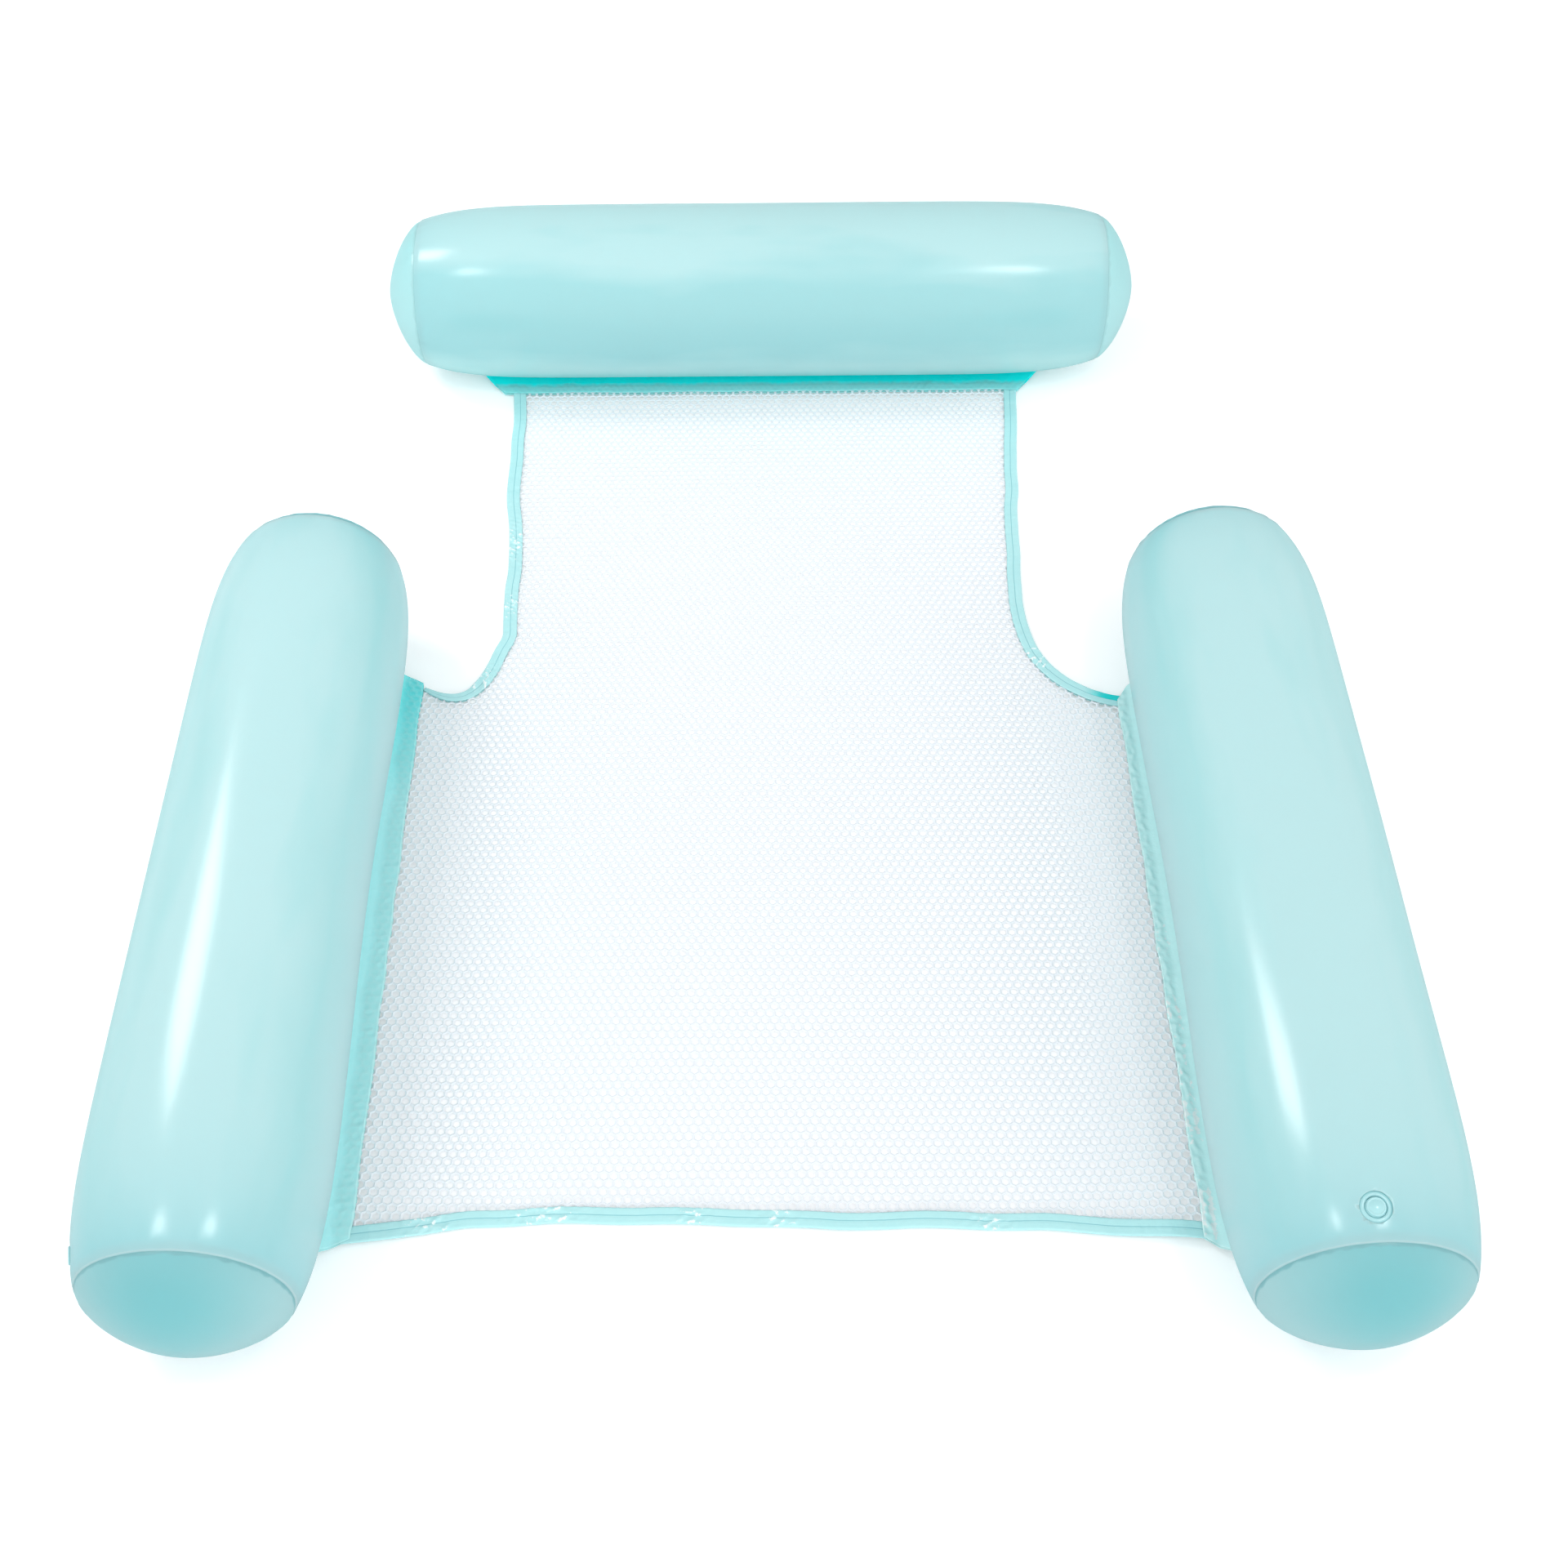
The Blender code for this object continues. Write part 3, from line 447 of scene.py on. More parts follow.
def moulded_vinyl(name, colour, cloudy):
    """Soft PVC, injection moulded in a polished mould: clear, with a wet gloss. It clouds from the
    one colour to the other in patches of 6 mm."""
    material, tree, shader = new_material(name, {"Roughness": 0.18, "IOR": PVC_IOR})
    grain = clouds(tree, 0.0012, 1.0)
    bump = add_node(tree, "Bump", {"Strength": 0.05, "Distance": 0.0002},
                    {"Height": grain.outputs["Fac"]})
    tint = clouds(tree, 0.006)
    shade = add_node(tree, "Mix", {"data_type": "RGBA", 6: linear(colour), 7: linear(cloudy)},
                     {0: tint.outputs["Fac"]})
    tree.links.new(shade.outputs[2], shader.inputs["Base Color"])
    tree.links.new(bump.outputs["Normal"], shader.inputs["Normal"])
    return material


valve_vinyl = moulded_vinyl("moulded clear PVC", *VALVE_COLOURS)
for float_name in FLOATS:
    place = valve_frame(float_name)
    cutter = turned_piece(f"{float_name}_hole_tool", HOLE_PROFILE, place, valve_vinyl,
                          closed=False)
    film = sleeves[float_name]
    cut = film.modifiers.new("Valve hole", "BOOLEAN")
    cut.operation = "DIFFERENCE"
    cut.object = cutter
    cut.solver = "EXACT"
    bpy.context.view_layer.update()
    finished = bpy.data.meshes.new_from_object(film.evaluated_get(
        bpy.context.evaluated_depsgraph_get()))
    film.modifiers.clear()
    film.data = finished
    bpy.data.objects.remove(cutter, do_unlink=True)
    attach(film, float_name)

    for part, node, body, profile, kind in (
            ("collar", "flange", "", FLANGE_PROFILE, {"bent": 1.0}),
            ("tube", "stem", "_stem", STEM_PROFILE, {}),
            ("cap", "plug", "_plug", PLUG_PROFILE, {"closed": False})):
        piece = turned_piece(f"{float_name}_valve_{part}", profile, place, valve_vinyl, **kind)
        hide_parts(f"{float_name}_valve_{node}")
        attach(piece, float_name + body)

# Seat outline. The seat is one T-shaped cut: broad between the arms, with a round armhole on each
# side, and a neck up to the headrest. It was cut by hand along a template, so its free edges wander
# by a few millimetres. They are lifted slightly where the strips carry them up to the floats.
FRONT_Y = -0.5076
NECK_TOP_Y = 0.4903
EDGE_LIFT = 0.0030
WAVE_HEIGHT = 0.0007
MILLIMETRE = 0.001
FRONT_EDGE = MILLIMETRE * np.array([
    (-332.5, -524.5), (-305, -521), (-270, -516.5), (-235, -509.5), (-170, -507), (-100, -508.5),
    (0, -510.5), (50, -514), (110, -513.5), (210, -515), (260, -519.5), (332.5, -525.5)])
RIGHT_EDGE = MILLIMETRE * np.array([
    (340, 31), (333, 32), (325, 34), (317, 37), (310, 41), (303, 46), (295, 52), (288, 60),
    (281, 69), (275, 80), (268, 95), (263, 112), (259, 134), (258, 157), (260, 180), (261, 203),
    (263, 226), (264, 250), (266, 275), (267, 300), (270, 325), (271, 351), (274, 377), (276, 403),
    (279, 430), (282, 457), (284, 489)])
LEFT_EDGE = MILLIMETRE * np.array([
    (-275, 489), (-274, 464), (-272, 437), (-272, 410), (-271, 383), (-271, 357), (-270, 331),
    (-268, 306), (-265, 281), (-263, 257), (-261, 232), (-260, 209), (-262, 185), (-261, 162),
    (-259, 140), (-257, 117), (-264, 102), (-271, 78), (-279, 58), (-287, 45), (-296, 40),
    (-306, 40), (-316, 44), (-327, 50)])


def seat_height(x, y):
    """How far the seat lies above its flat place: lifted by a smooth step next to the arm strips
    and a lower one at the headrest's, by long low waves of about a millimetre over the field, which
    end before the headrest, and by shorter ones along the front edge."""
    near_arm = ramp(np.abs(x), 0.245, 0.085)
    lift = EDGE_LIFT * near_arm ** 2 * (3 - 2 * near_arm) * ramp(y, 0.10, -0.06)
    near_head = ramp(y, 0.457, 0.033)
    lift = np.maximum(lift, 0.8 * EDGE_LIFT * near_head ** 2 * (3 - 2 * near_head))
    waves = np.sin(9.1 * x + 5.3 * y + 1.0) * np.sin(7.2 * y - 3.9 * x + 0.4) + 1
    waves = waves * ramp(y, 0.43, -0.06)
    hem = np.exp(-((y - FRONT_Y) / 0.05) ** 2) * (1 + np.sin(23 * x + 0.8) * np.sin(41 * x))
    return lift + WAVE_HEIGHT * waves + WAVE_HEIGHT * hem


# Net. White polyester warp-knitted mesh with hexagonal openings 7.8 mm apart, in rows across the
# seat. Each strand is a soft ridge of knitted loops. The same cloth is made as two pieces, the
# broad seat and the neck, which meet on a row, because it has so many openings.
NET_PITCH = 0.0078
STRAND = 0.0026
NET_LOW = 0.0010
NET_HIGH = 0.0017
NET_UNDER_STRIP = 0.0760
NET_UNDER_TOP_STRIP = 0.0105
EDGE_MARGIN = 0.0045
NET_FIRST_ROW = -4
NET_SPLIT_ROW = 78
NET_COLUMNS = 50
YARN_COLOURS = ("#E8EEF4", "#F1F5FA")


def seat_cut():
    """The whole cut as a closed line of points, anticlockwise: the front, the right side under its
    strip, the right armhole and neck, the top under the headrest's strip, and back down."""
    side_y = np.array([FRONT_Y - 0.020, RIGHT_EDGE[0, 1]])
    arm_x, arm_y = FLOATS["right_arm"]["centre"]
    side_x = arm_x + (side_y - arm_y) * np.tan(np.radians(0.5)) - NET_UNDER_STRIP
    right_side = np.stack([side_x, side_y], axis=-1)
    top_y = NECK_TOP_Y + NET_UNDER_TOP_STRIP
    top = np.array([[RIGHT_EDGE[-1, 0], top_y], [LEFT_EDGE[0, 0], top_y]])
    left_side = right_side[::-1] * [-1, 1]
    return np.concatenate([FRONT_EDGE, right_side, RIGHT_EDGE, top, LEFT_EDGE, left_side])


def inside_seat(x, y):
    """True where the middle of an opening lies inside the cut, by the even-odd rule, and further
    from its edge than the margin, by the distance to the nearest stretch of the line."""
    cut = seat_cut()
    (ax, ay), (bx, by) = cut.T, np.roll(cut, -1, axis=0).T
    px, py = x.reshape(-1, 1), y.reshape(-1, 1)
    rise = np.where(by == ay, 1.0, by - ay)
    crossed = ((ay > py) != (by > py)) & (px < ax + (py - ay) * (bx - ax) / rise)
    share = ((px - ax) * (bx - ax) + (py - ay) * (by - ay)) / ((bx - ax) ** 2 + (by - ay) ** 2)
    share = np.clip(share, 0, 1)
    away = np.hypot(px - ax - share * (bx - ax), py - ay - share * (by - ay)).min(axis=1)
    return ((crossed.sum(axis=1) % 2 == 1) & (away > EDGE_MARGIN)).reshape(x.shape)


def knitted_yarn():
    """Polyester filament yarn, warp knitted and heat set: chalk white, matt with a faint sheen.

    The loops along a strand are 1.1 mm apart. The yarn is painted a shade darker and bluer where
    it dips between them, a painted shade in the hollows."""
    material, tree, shader = new_material("white knitted polyester",
                                          {"Roughness": 0.75, "Sheen Weight": 0.15})
    loops = clouds(tree, 0.0011, 1.0)
    bump = add_node(tree, "Bump", {"Strength": 0.25, "Distance": 0.0002},
                    {"Height": loops.outputs["Fac"]})
    # Painted shade: the dips between the loops are painted darker and bluer.
    dip, crest = (linear(code) for code in YARN_COLOURS)
    shade = add_node(tree, "Mix", {"data_type": "RGBA", 6: dip, 7: crest},
                     {0: loops.outputs["Fac"]})
    tree.links.new(shade.outputs[2], shader.inputs["Base Color"])
    tree.links.new(bump.outputs["Normal"], shader.inputs["Normal"])
    return material


def net_piece(name, first_row, last_row, material):
    """Hexagonal mesh over rows of openings. Each opening is a ring of six strand halves: their
    ridge runs along the border between two openings, and falls to the edge of the opening."""
    row_step = NET_PITCH * np.sqrt(3) / 2
    row, column = np.meshgrid(np.arange(first_row, last_row),
                              np.arange(-NET_COLUMNS, NET_COLUMNS + 1), indexing="ij")
    cx = (column + 0.5 * (row % 2)) * NET_PITCH
    cy = FRONT_Y + row * row_step
    keep = inside_seat(cx, cy)
    cx, cy = cx[keep], cy[keep]
    count = len(cx)
    corner = np.arange(6) * np.pi / 3
    outer = NET_PITCH / np.sqrt(3)
    inner = (NET_PITCH - STRAND) / np.sqrt(3)
    ox = cx[:, None] + outer * np.sin(corner)
    oy = cy[:, None] + outer * np.cos(corner)
    ix = cx[:, None] + inner * np.sin(corner)
    iy = cy[:, None] + inner * np.cos(corner)
    key_x = np.round(ox / (NET_PITCH / 2)).astype(np.int64)
    key_y = np.round((oy - FRONT_Y) / (row_step / 3)).astype(np.int64)
    keys = key_x.ravel() * 100000 + key_y.ravel()
    unique, first, inverse = np.unique(keys, return_index=True, return_inverse=True)
    bx, by = ox.ravel()[first], oy.ravel()[first]
    borders = len(unique)
    opening = (NET_LOW + NET_HIGH) / 2 - 0.0002
    ridge = np.stack([bx, by, seat_height(bx, by) + NET_HIGH], axis=-1)
    back = np.stack([bx, by, seat_height(bx, by) + NET_LOW], axis=-1)
    hole = np.stack([ix.ravel(), iy.ravel(), seat_height(ix, iy).ravel() + opening], axis=-1)
    points = np.concatenate([ridge, back, hole])
    o = inverse.reshape(count, 6)
    following = np.roll(np.arange(6), -1)
    i = (2 * borders + np.arange(count * 6)).reshape(count, 6)
    top = np.stack([i, i[:, following], o[:, following], o], axis=-1)
    bottom = np.stack([o + borders, o[:, following] + borders, i[:, following], i], axis=-1)
    pairs = np.sort(np.stack([o, o[:, following]], axis=-1), axis=-1).reshape(-1, 2)
    code = pairs[:, 0] * borders + pairs[:, 1]
    _, where, counts = np.unique(code, return_inverse=True, return_counts=True)
    rim = counts[where] == 1
    a = o.reshape(-1)[rim]
    b = o[:, following].reshape(-1)[rim]
    wall = np.stack([a, b, b + borders, a + borders], axis=-1)
    quads = np.concatenate([top.reshape(-1, 4), bottom.reshape(-1, 4), wall])
    mesh = bpy.data.meshes.new(name)
    mesh.from_pydata(points.tolist(), [], quads.tolist())
    mesh.materials.append(material)
    piece = bpy.data.objects.new(name, mesh)
    bpy.context.scene.collection.objects.link(piece)
    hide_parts("net_seat")
    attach(piece, "seat")


# Strips. Two plies of translucent teal PVC film, 0.3 mm thick, clamp the edge of the net between
# them and are welded low on the float. They flare at both ends. The film lies loose, so it ripples
# across its width and glints: the glints are partly real, on the ripples, and partly painted as
# pale flecks in its colour.
# From the float's axis: the fold line, the strip's net side and the net's edge.
FOLDS = {"headrest": (0.0510, 0.0665, 0.0525), "right_arm": (0.0750, 0.0858, 0.0765),
         "left_arm": (0.0750, 0.0917, 0.0765)}
# Half lengths at the net side and at the weld, at the positive end and at the negative one.
STRIP_ENDS = {"headrest": ((0.2845, 0.3145), (0.2845, 0.3145)),
              "right_arm": ((0.2822, 0.3018), (0.2664, 0.3108)),
              "left_arm": ((0.2962, 0.3209), (0.2781, 0.2973))}
WELD_ANGLES = {"headrest": (19.4, 13.8), "right_arm": (29.2, 23.2), "left_arm": (29.2, 23.2)}
PLY = 0.0004
PLY_PLACES = {"upper": (0.0029, 0.0004), "lower": (0.0005, 0.0014)}
FLAT_SHARE = 0.30
WELD_SHARE = 0.86
FOLD_HEIGHT = 0.0016
BEND_REACH = 0.0045
CRUMPLE = {"headrest": 0.1, "right_arm": 1.25, "left_arm": 0.15}
CREASE_LENGTH = 0.0075
LIP_HEIGHT = 0.0006
CREASE_HEIGHT = 0.0009
RIPPLE_HEIGHT = 0.00055
PRINT_HEIGHT = 0.00030
PRINT_SHARE = {"headrest": 0.1, "right_arm": 0.15, "left_arm": 0.16}
PRINT_COLOUR = "#EAFFFF"
# Painted glints: pale flecks painted on the strips and tapes where the film is creased.
GLINT_COLOUR = "#F6FFFF"
GLINT_WEIGHT = 0.46
GLINT_RANGE = (0.78, 0.92)
BORDER_RANGE = (0.31, 0.43)
BORDER_DRIFT = 0.22
DEEP_END_RANGE = (0.15, 0.28)
STRIP_THROUGH = 0.02


def painted_glints(tree, colour, size):
    """Painted glints: pale flecks painted on film where it is creased, for the glints at its folds:
    blotches of noise, size metres across, over a threshold that falls where the piece's glint mask
    is high."""
    glint_mask = add_node(tree, "Attribute", {"attribute_name": "glint_mask"})
    blotches = clouds(tree, size)
    level = add_node(tree, "Math", {"operation": "MULTIPLY_ADD", 1: GLINT_WEIGHT},
                     {0: glint_mask.outputs["Fac"], 2: blotches.outputs["Fac"]})
    flecks = add_node(tree, "MapRange",
                      {"From Min": GLINT_RANGE[0], "From Max": GLINT_RANGE[1]},
                      {"Value": level.outputs[0]})
    with_glints = add_node(tree, "Mix", {"data_type": "RGBA", 7: linear(GLINT_COLOUR)},
                        {0: flecks.outputs["Result"], 6: colour})
    return with_glints.outputs[2]


def strip_film(name, net_side, float_side, gloss, far_end=None):
    """Soft PVC film, pressed between the welding bars: translucent teal with a wrinkled, wet gloss.

    net_side and float_side are (colour, alpha) over the net's edge and from there to the float,
    where the two plies lie flat on each other. The border between them wavers by 2 mm. The net's
    print is paler, and creases carry painted glints. far_end is a deeper colour over the last 150
    mm of the positive end. Fine wrinkles 4 mm apart run at random."""
    material, tree, shader = new_material(name, {"Roughness": 0.11, "IOR": PVC_IOR,
                                                 "Specular IOR Level": gloss})
    place = add_node(tree, "UVMap", {"uv_map": "along_across"})
    split = add_node(tree, "SeparateXYZ", None, {"Vector": place.outputs["UV"]})
    drift = clouds(tree, 0.030, 3.0)
    waver = add_node(tree, "Math", {"operation": "MULTIPLY_ADD", 1: BORDER_DRIFT},
                     {0: drift.outputs["Fac"], 2: split.outputs["Y"]})
    zone = add_node(tree, "MapRange", {"From Min": BORDER_RANGE[0], "From Max": BORDER_RANGE[1]},
                    {"Value": waver.outputs[0]})
    film = add_node(tree, "Mix",
                    {"data_type": "RGBA", 6: linear(net_side[0]), 7: linear(float_side[0])},
                    {0: zone.outputs["Result"]})
    if far_end:
        deep = add_node(tree, "MapRange",
                        {"From Min": DEEP_END_RANGE[0], "From Max": DEEP_END_RANGE[1]},
                        {"Value": split.outputs["X"]})
        film = add_node(tree, "Mix", {"data_type": "RGBA", 7: linear(far_end)},
                        {0: deep.outputs["Result"], 6: film.outputs[2]})
    relief = add_node(tree, "Attribute", {"attribute_name": "net_print"})
    printed = add_node(tree, "Mix", {"data_type": "RGBA", 7: linear(PRINT_COLOUR)},
                       {0: relief.outputs["Fac"], 6: film.outputs[2]})
    colour = painted_glints(tree, printed.outputs[2], 0.0036)
    cover = add_node(tree, "MapRange", {"To Min": net_side[1], "To Max": float_side[1]},
                     {"Value": zone.outputs["Result"]})
    creases = clouds(tree, 0.0045, 3.0)
    bump = add_node(tree, "Bump", {"Strength": 0.5, "Distance": 0.0008},
                    {"Height": creases.outputs["Fac"]})
    tree.links.new(colour, shader.inputs["Base Color"])
    tree.links.new(cover.outputs["Result"], shader.inputs["Alpha"])
    tree.links.new(bump.outputs["Normal"], shader.inputs["Normal"])
    let_light_through(tree, shader, colour, STRIP_THROUGH)
    return material


def ripples(u, v, seed, waves=((0.009, 1.0), (0.017, 1.0), (0.031, 1.2))):
    """Ripples of film: pairs of sine waves of a few wavelengths along u, skewed by their place
    across v, each of which swells and fades over six of its own lengths."""
    rng = np.random.default_rng(seed)
    total = 0.0
    for length, weight in waves:
        for _ in range(2):
            scale = length * rng.uniform(0.8, 1.25)
            skew = rng.uniform(-0.5, 0.5)
            slow = np.sin(2 * np.pi * u / (6 * scale) + rng.uniform(0, 6.28))
            total = total + weight * slow * np.sin(2 * np.pi * (u + skew * v) / scale
                                                   + rng.uniform(0, 6.28))
    return total / (2 * sum(w for _, w in waves))


def crumple(u, v, seed, length):
    """Sharp creases of film, from -1 to 1: the mean of five folded waves, 1 - 2 |sin|, which run in
    directions of their own and are 0.7 to 1.4 times the given length."""
    rng = np.random.default_rng(seed)
    total = 0.0
    for _ in range(5):
        turn = rng.uniform(0, np.pi)
        phase = (u * np.cos(turn) + v * np.sin(turn)) / (length * rng.uniform(0.7, 1.4))
        total = total + 1 - 2 * np.abs(np.sin(np.pi * (phase + rng.uniform(0, 1))))
    return total / 5


def net_print(x, y):
    """The net as it prints through a film, from -1 in the middle of an opening to 0.5 where three
    openings meet: minus the mean of three cosines, whose waves cross at sixty degrees."""
    k = 2 * np.pi / NET_PITCH
    across, up = k * x, k * (y - FRONT_Y) / np.sqrt(3)
    return -(np.cos(across + up) + np.cos(across - up) + np.cos(2 * up)) / 3


def strip_ply(name, layer, material):
    """A ply as a function of (along, across): flat over the net's edge, then straight to the two
    lines where it is welded on the float's skin, lengthening all the way. The upper ply shows the
    net's print, and a crinkled lip along the net's side, where its colour carries painted glints."""
    fold, reach, net_edge = FOLDS[name]
    ends = np.array(STRIP_ENDS[name])
    upper = layer == "upper"
    flat, drop = PLY_PLACES[layer]
    first, second = np.radians(WELD_ANGLES[name])
    across = np.linspace(0, 1, 31)
    along = np.linspace(-1, 1, 501)
    w, u = np.meshgrid(across, along, indexing="ij")
    flare = np.interp(w, [0.0, FLAT_SHARE, WELD_SHARE, 1.0], [0.0, 0.40, 0.95, 1.0])
    net_half, weld_half = np.where(u[..., None] > 0, ends[0], ends[1]).transpose(2, 0, 1)
    s = u * (net_half + (weld_half - net_half) * flare)
    r = film_radius(s, FLOATS[name]["half"]) + drop
    v1, z1 = r * np.sin(first), AXIS_HEIGHT - r * np.cos(first)
    v2, z2 = r * np.sin(second), AXIS_HEIGHT - r * np.cos(second)
    bend = net_edge - 0.0015
    corner = to_world(name, s, reach, 0)
    flat_z = flat + seat_height(corner[..., 0], corner[..., 1])
    t1 = ramp(w, 0, FLAT_SHARE)
    t2 = ramp(w, FLAT_SHARE, WELD_SHARE - FLAT_SHARE)
    t3 = ramp(w, WELD_SHARE, 1 - WELD_SHARE)
    v = reach + (bend - reach) * t1 + (v1 - bend) * t2 + (v2 - v1) * t3
    z = flat_z + (z1 - flat_z) * t2 + (z2 - z1) * t3
    free = np.clip(1.15 - t2, 0, 1) * (1.0 if upper else 0.4)
    wave = ripples(s, v, FLOATS[name]["seed"] + (5 if upper else 9))
    z = z + RIPPLE_HEIGHT * free * (wave + 0.45) * (1 - t3)
    marks = {"glint_mask": np.zeros_like(w), "net_print": np.zeros_like(w)}
    if upper:
        lip = CRUMPLE[name] * np.exp(-((w - 0.13) / 0.09) ** 2)
        creases = crumple(s, v, FLOATS[name]["seed"] + 21, CREASE_LENGTH)
        z = z + lip * (LIP_HEIGHT + CREASE_HEIGHT * creases)
        relief = net_print(*np.moveaxis(to_world(name, s, v, 0)[..., :2], -1, 0))
        pressed = relief * np.clip(2.6 - w / 0.13, 0, 1)
        z = z + PRINT_HEIGHT * pressed
        slow = ripples(s, 0.0, FLOATS[name]["seed"] + 31, ((0.09, 1.0),))
        # Where the colour carries painted glints: two rows along the net side, growing towards the
        # positive end.
        rows = np.exp(-((w - 0.05) / 0.06) ** 2) + np.exp(-((w - 0.24) / 0.08) ** 2)
        growth = np.clip(0.5 + 1.5 * u, 0, 1)
        marks["glint_mask"] = CRUMPLE[name] * rows * growth * np.clip(0.7 + creases + slow, 0, 1)
        marks["net_print"] = PRINT_SHARE[name] * np.clip(pressed * 2.5, 0, 1)
    else:
        z = np.maximum(z - 0.0002, 0.0003)
    v = v + 0.0006 * ramp(w, 0.2, -0.2) * np.sin(s / 0.013 + 2 * np.sin(s / 0.05))
    points = to_world(name, s, v, z)
    uv = np.stack([s, w], axis=-1)
    piece = grid_mesh(f"{name}_strip_{layer}_film", points, material, uv=uv, marks=marks)
    give_wall(piece, PLY, 0.0)
    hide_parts(f"{name}_strip_{layer}")
    start = to_world(name, 0.0, fold + BEND_REACH, FOLD_HEIGHT)
    end = to_world(name, 0.0, fold - BEND_REACH, FOLD_HEIGHT)
    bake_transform(piece)


# The three strips are one film in three painted copies: the headrest's float side is painted a deep
# teal, partly its two plies and partly painted shade under the headrest, and the right arm's strip
# is painted paler than the left's, painted light where the key lamp reaches it past its float.
strip_films = {
    "headrest": strip_film("pressed PVC film, deep teal", ("#A0FEFF", 0.50), ("#00FFFF", 1.0), 0.5),
    "right_arm": strip_film("pressed PVC film, pale teal", ("#D2FEFE", 0.85), ("#D4FDFD", 1.0),
                            1.0),
    "left_arm": strip_film("pressed PVC film, teal", ("#BEFDFE", 0.85), ("#BCFCFE", 1.0), 1.0,
                           far_end="#6CF2F4"),
}
for float_name, ply_film in strip_films.items():
    strip_ply(float_name, "upper", ply_film)
    strip_ply(float_name, "lower", ply_film)

# The net is cut and made now that its strips are there, because it rests on them.
yarn = knitted_yarn()
net_last_row = int((NECK_TOP_Y + 0.03 - FRONT_Y) / (NET_PITCH * np.sqrt(3) / 2)) + 2
net_piece("net_broad_seat", NET_FIRST_ROW, NET_SPLIT_ROW, yarn)
net_piece("net_neck", NET_SPLIT_ROW, net_last_row, yarn)

# Tapes. Folded PVC tape, 27 mm wide before folding, is heat sealed over the raw edges of the net:
# one along the front and one up each armhole and side of the neck. The seal leaves a fine line
# along its middle, and the tape crinkles where it is pulled round a curve.
TAPE_WIDTH = 0.0135
TAPE_LOW = 0.0004
TAPE_HIGH = 0.0028
TAPE_STEP = 0.0011
TAPE_SMOOTH_STEPS = 12
TAPE_WANDER = 0.0009
TAPE_RIPPLE = 0.00042
GROOVE_SHARE = 0.48
GROOVE_DEPTH = 0.00035
CRINKLE_HEIGHT = 0.0013
THIN_LENGTH = 0.085
TUCK_LENGTH = 0.022
TUCK_DEPTH = 0.0012
TAPE_COLOURS = ("#BCEDEF", "#B0E7EA")
SEAL_COLOUR = "#86C6CE"
SEAL_SHARE = 0.52
DOUBLED_COLOUR = "#00D8D8"


def tape_film(name, doubled=0.0):
    """Soft PVC tape, folded and heat sealed: pale aqua gloss, darker along the seal line.

    The seal is 0.7 mm wide, at half the tape's width, and fine crinkles 3 mm apart cross it.
    doubled is the length over which its outer half was folded twice at the start, and is deeper."""
    material, tree, shader = new_material(name, {"Roughness": 0.20, "IOR": PVC_IOR})
    place = add_node(tree, "UVMap", {"uv_map": "along_across"})
    split = add_node(tree, "SeparateXYZ", None, {"Vector": place.outputs["UV"]})
    away = add_node(tree, "Math", {"operation": "SUBTRACT", 1: SEAL_SHARE}, {0: split.outputs["Y"]})
    near = add_node(tree, "Math", {"operation": "ABSOLUTE"}, {0: away.outputs[0]})
    line = add_node(tree, "MapRange",
                    {"From Min": 0.010, "From Max": 0.045, "To Min": 1.0, "To Max": 0.0},
                    {"Value": near.outputs[0]})
    drift = clouds(tree, 0.012)
    pale, deep = (linear(code) for code in TAPE_COLOURS)
    shade = add_node(tree, "Mix", {"data_type": "RGBA", 6: pale, 7: deep},
                     {0: drift.outputs["Fac"]})
    colour = add_node(tree, "Mix", {"data_type": "RGBA", 7: linear(SEAL_COLOUR)},
                      {0: line.outputs["Result"], 6: shade.outputs[2]})
    if doubled:
        along = add_node(tree, "MapRange", {
            "From Min": 0.4 * doubled, "From Max": doubled, "To Min": 1.0, "To Max": 0.0,
            "interpolation_type": "SMOOTHSTEP"}, {"Value": split.outputs["X"]})
        outer = add_node(tree, "Math", {"operation": "LESS_THAN", 1: SEAL_SHARE},
                         {0: split.outputs["Y"]})
        both = add_node(tree, "Math", {"operation": "MULTIPLY"},
                        {0: along.outputs["Result"], 1: outer.outputs[0]})
        colour = add_node(tree, "Mix", {"data_type": "RGBA", 7: linear(DOUBLED_COLOUR)},
                          {0: both.outputs[0], 6: colour.outputs[2]})
    creases = clouds(tree, 0.0030, 3.0)
    bump = add_node(tree, "Bump", {"Strength": 0.45, "Distance": 0.0006},
                    {"Height": creases.outputs["Fac"]})
    tree.links.new(painted_glints(tree, colour.outputs[2], 0.0030), shader.inputs["Base Color"])
    tree.links.new(bump.outputs["Normal"], shader.inputs["Normal"])
    return material


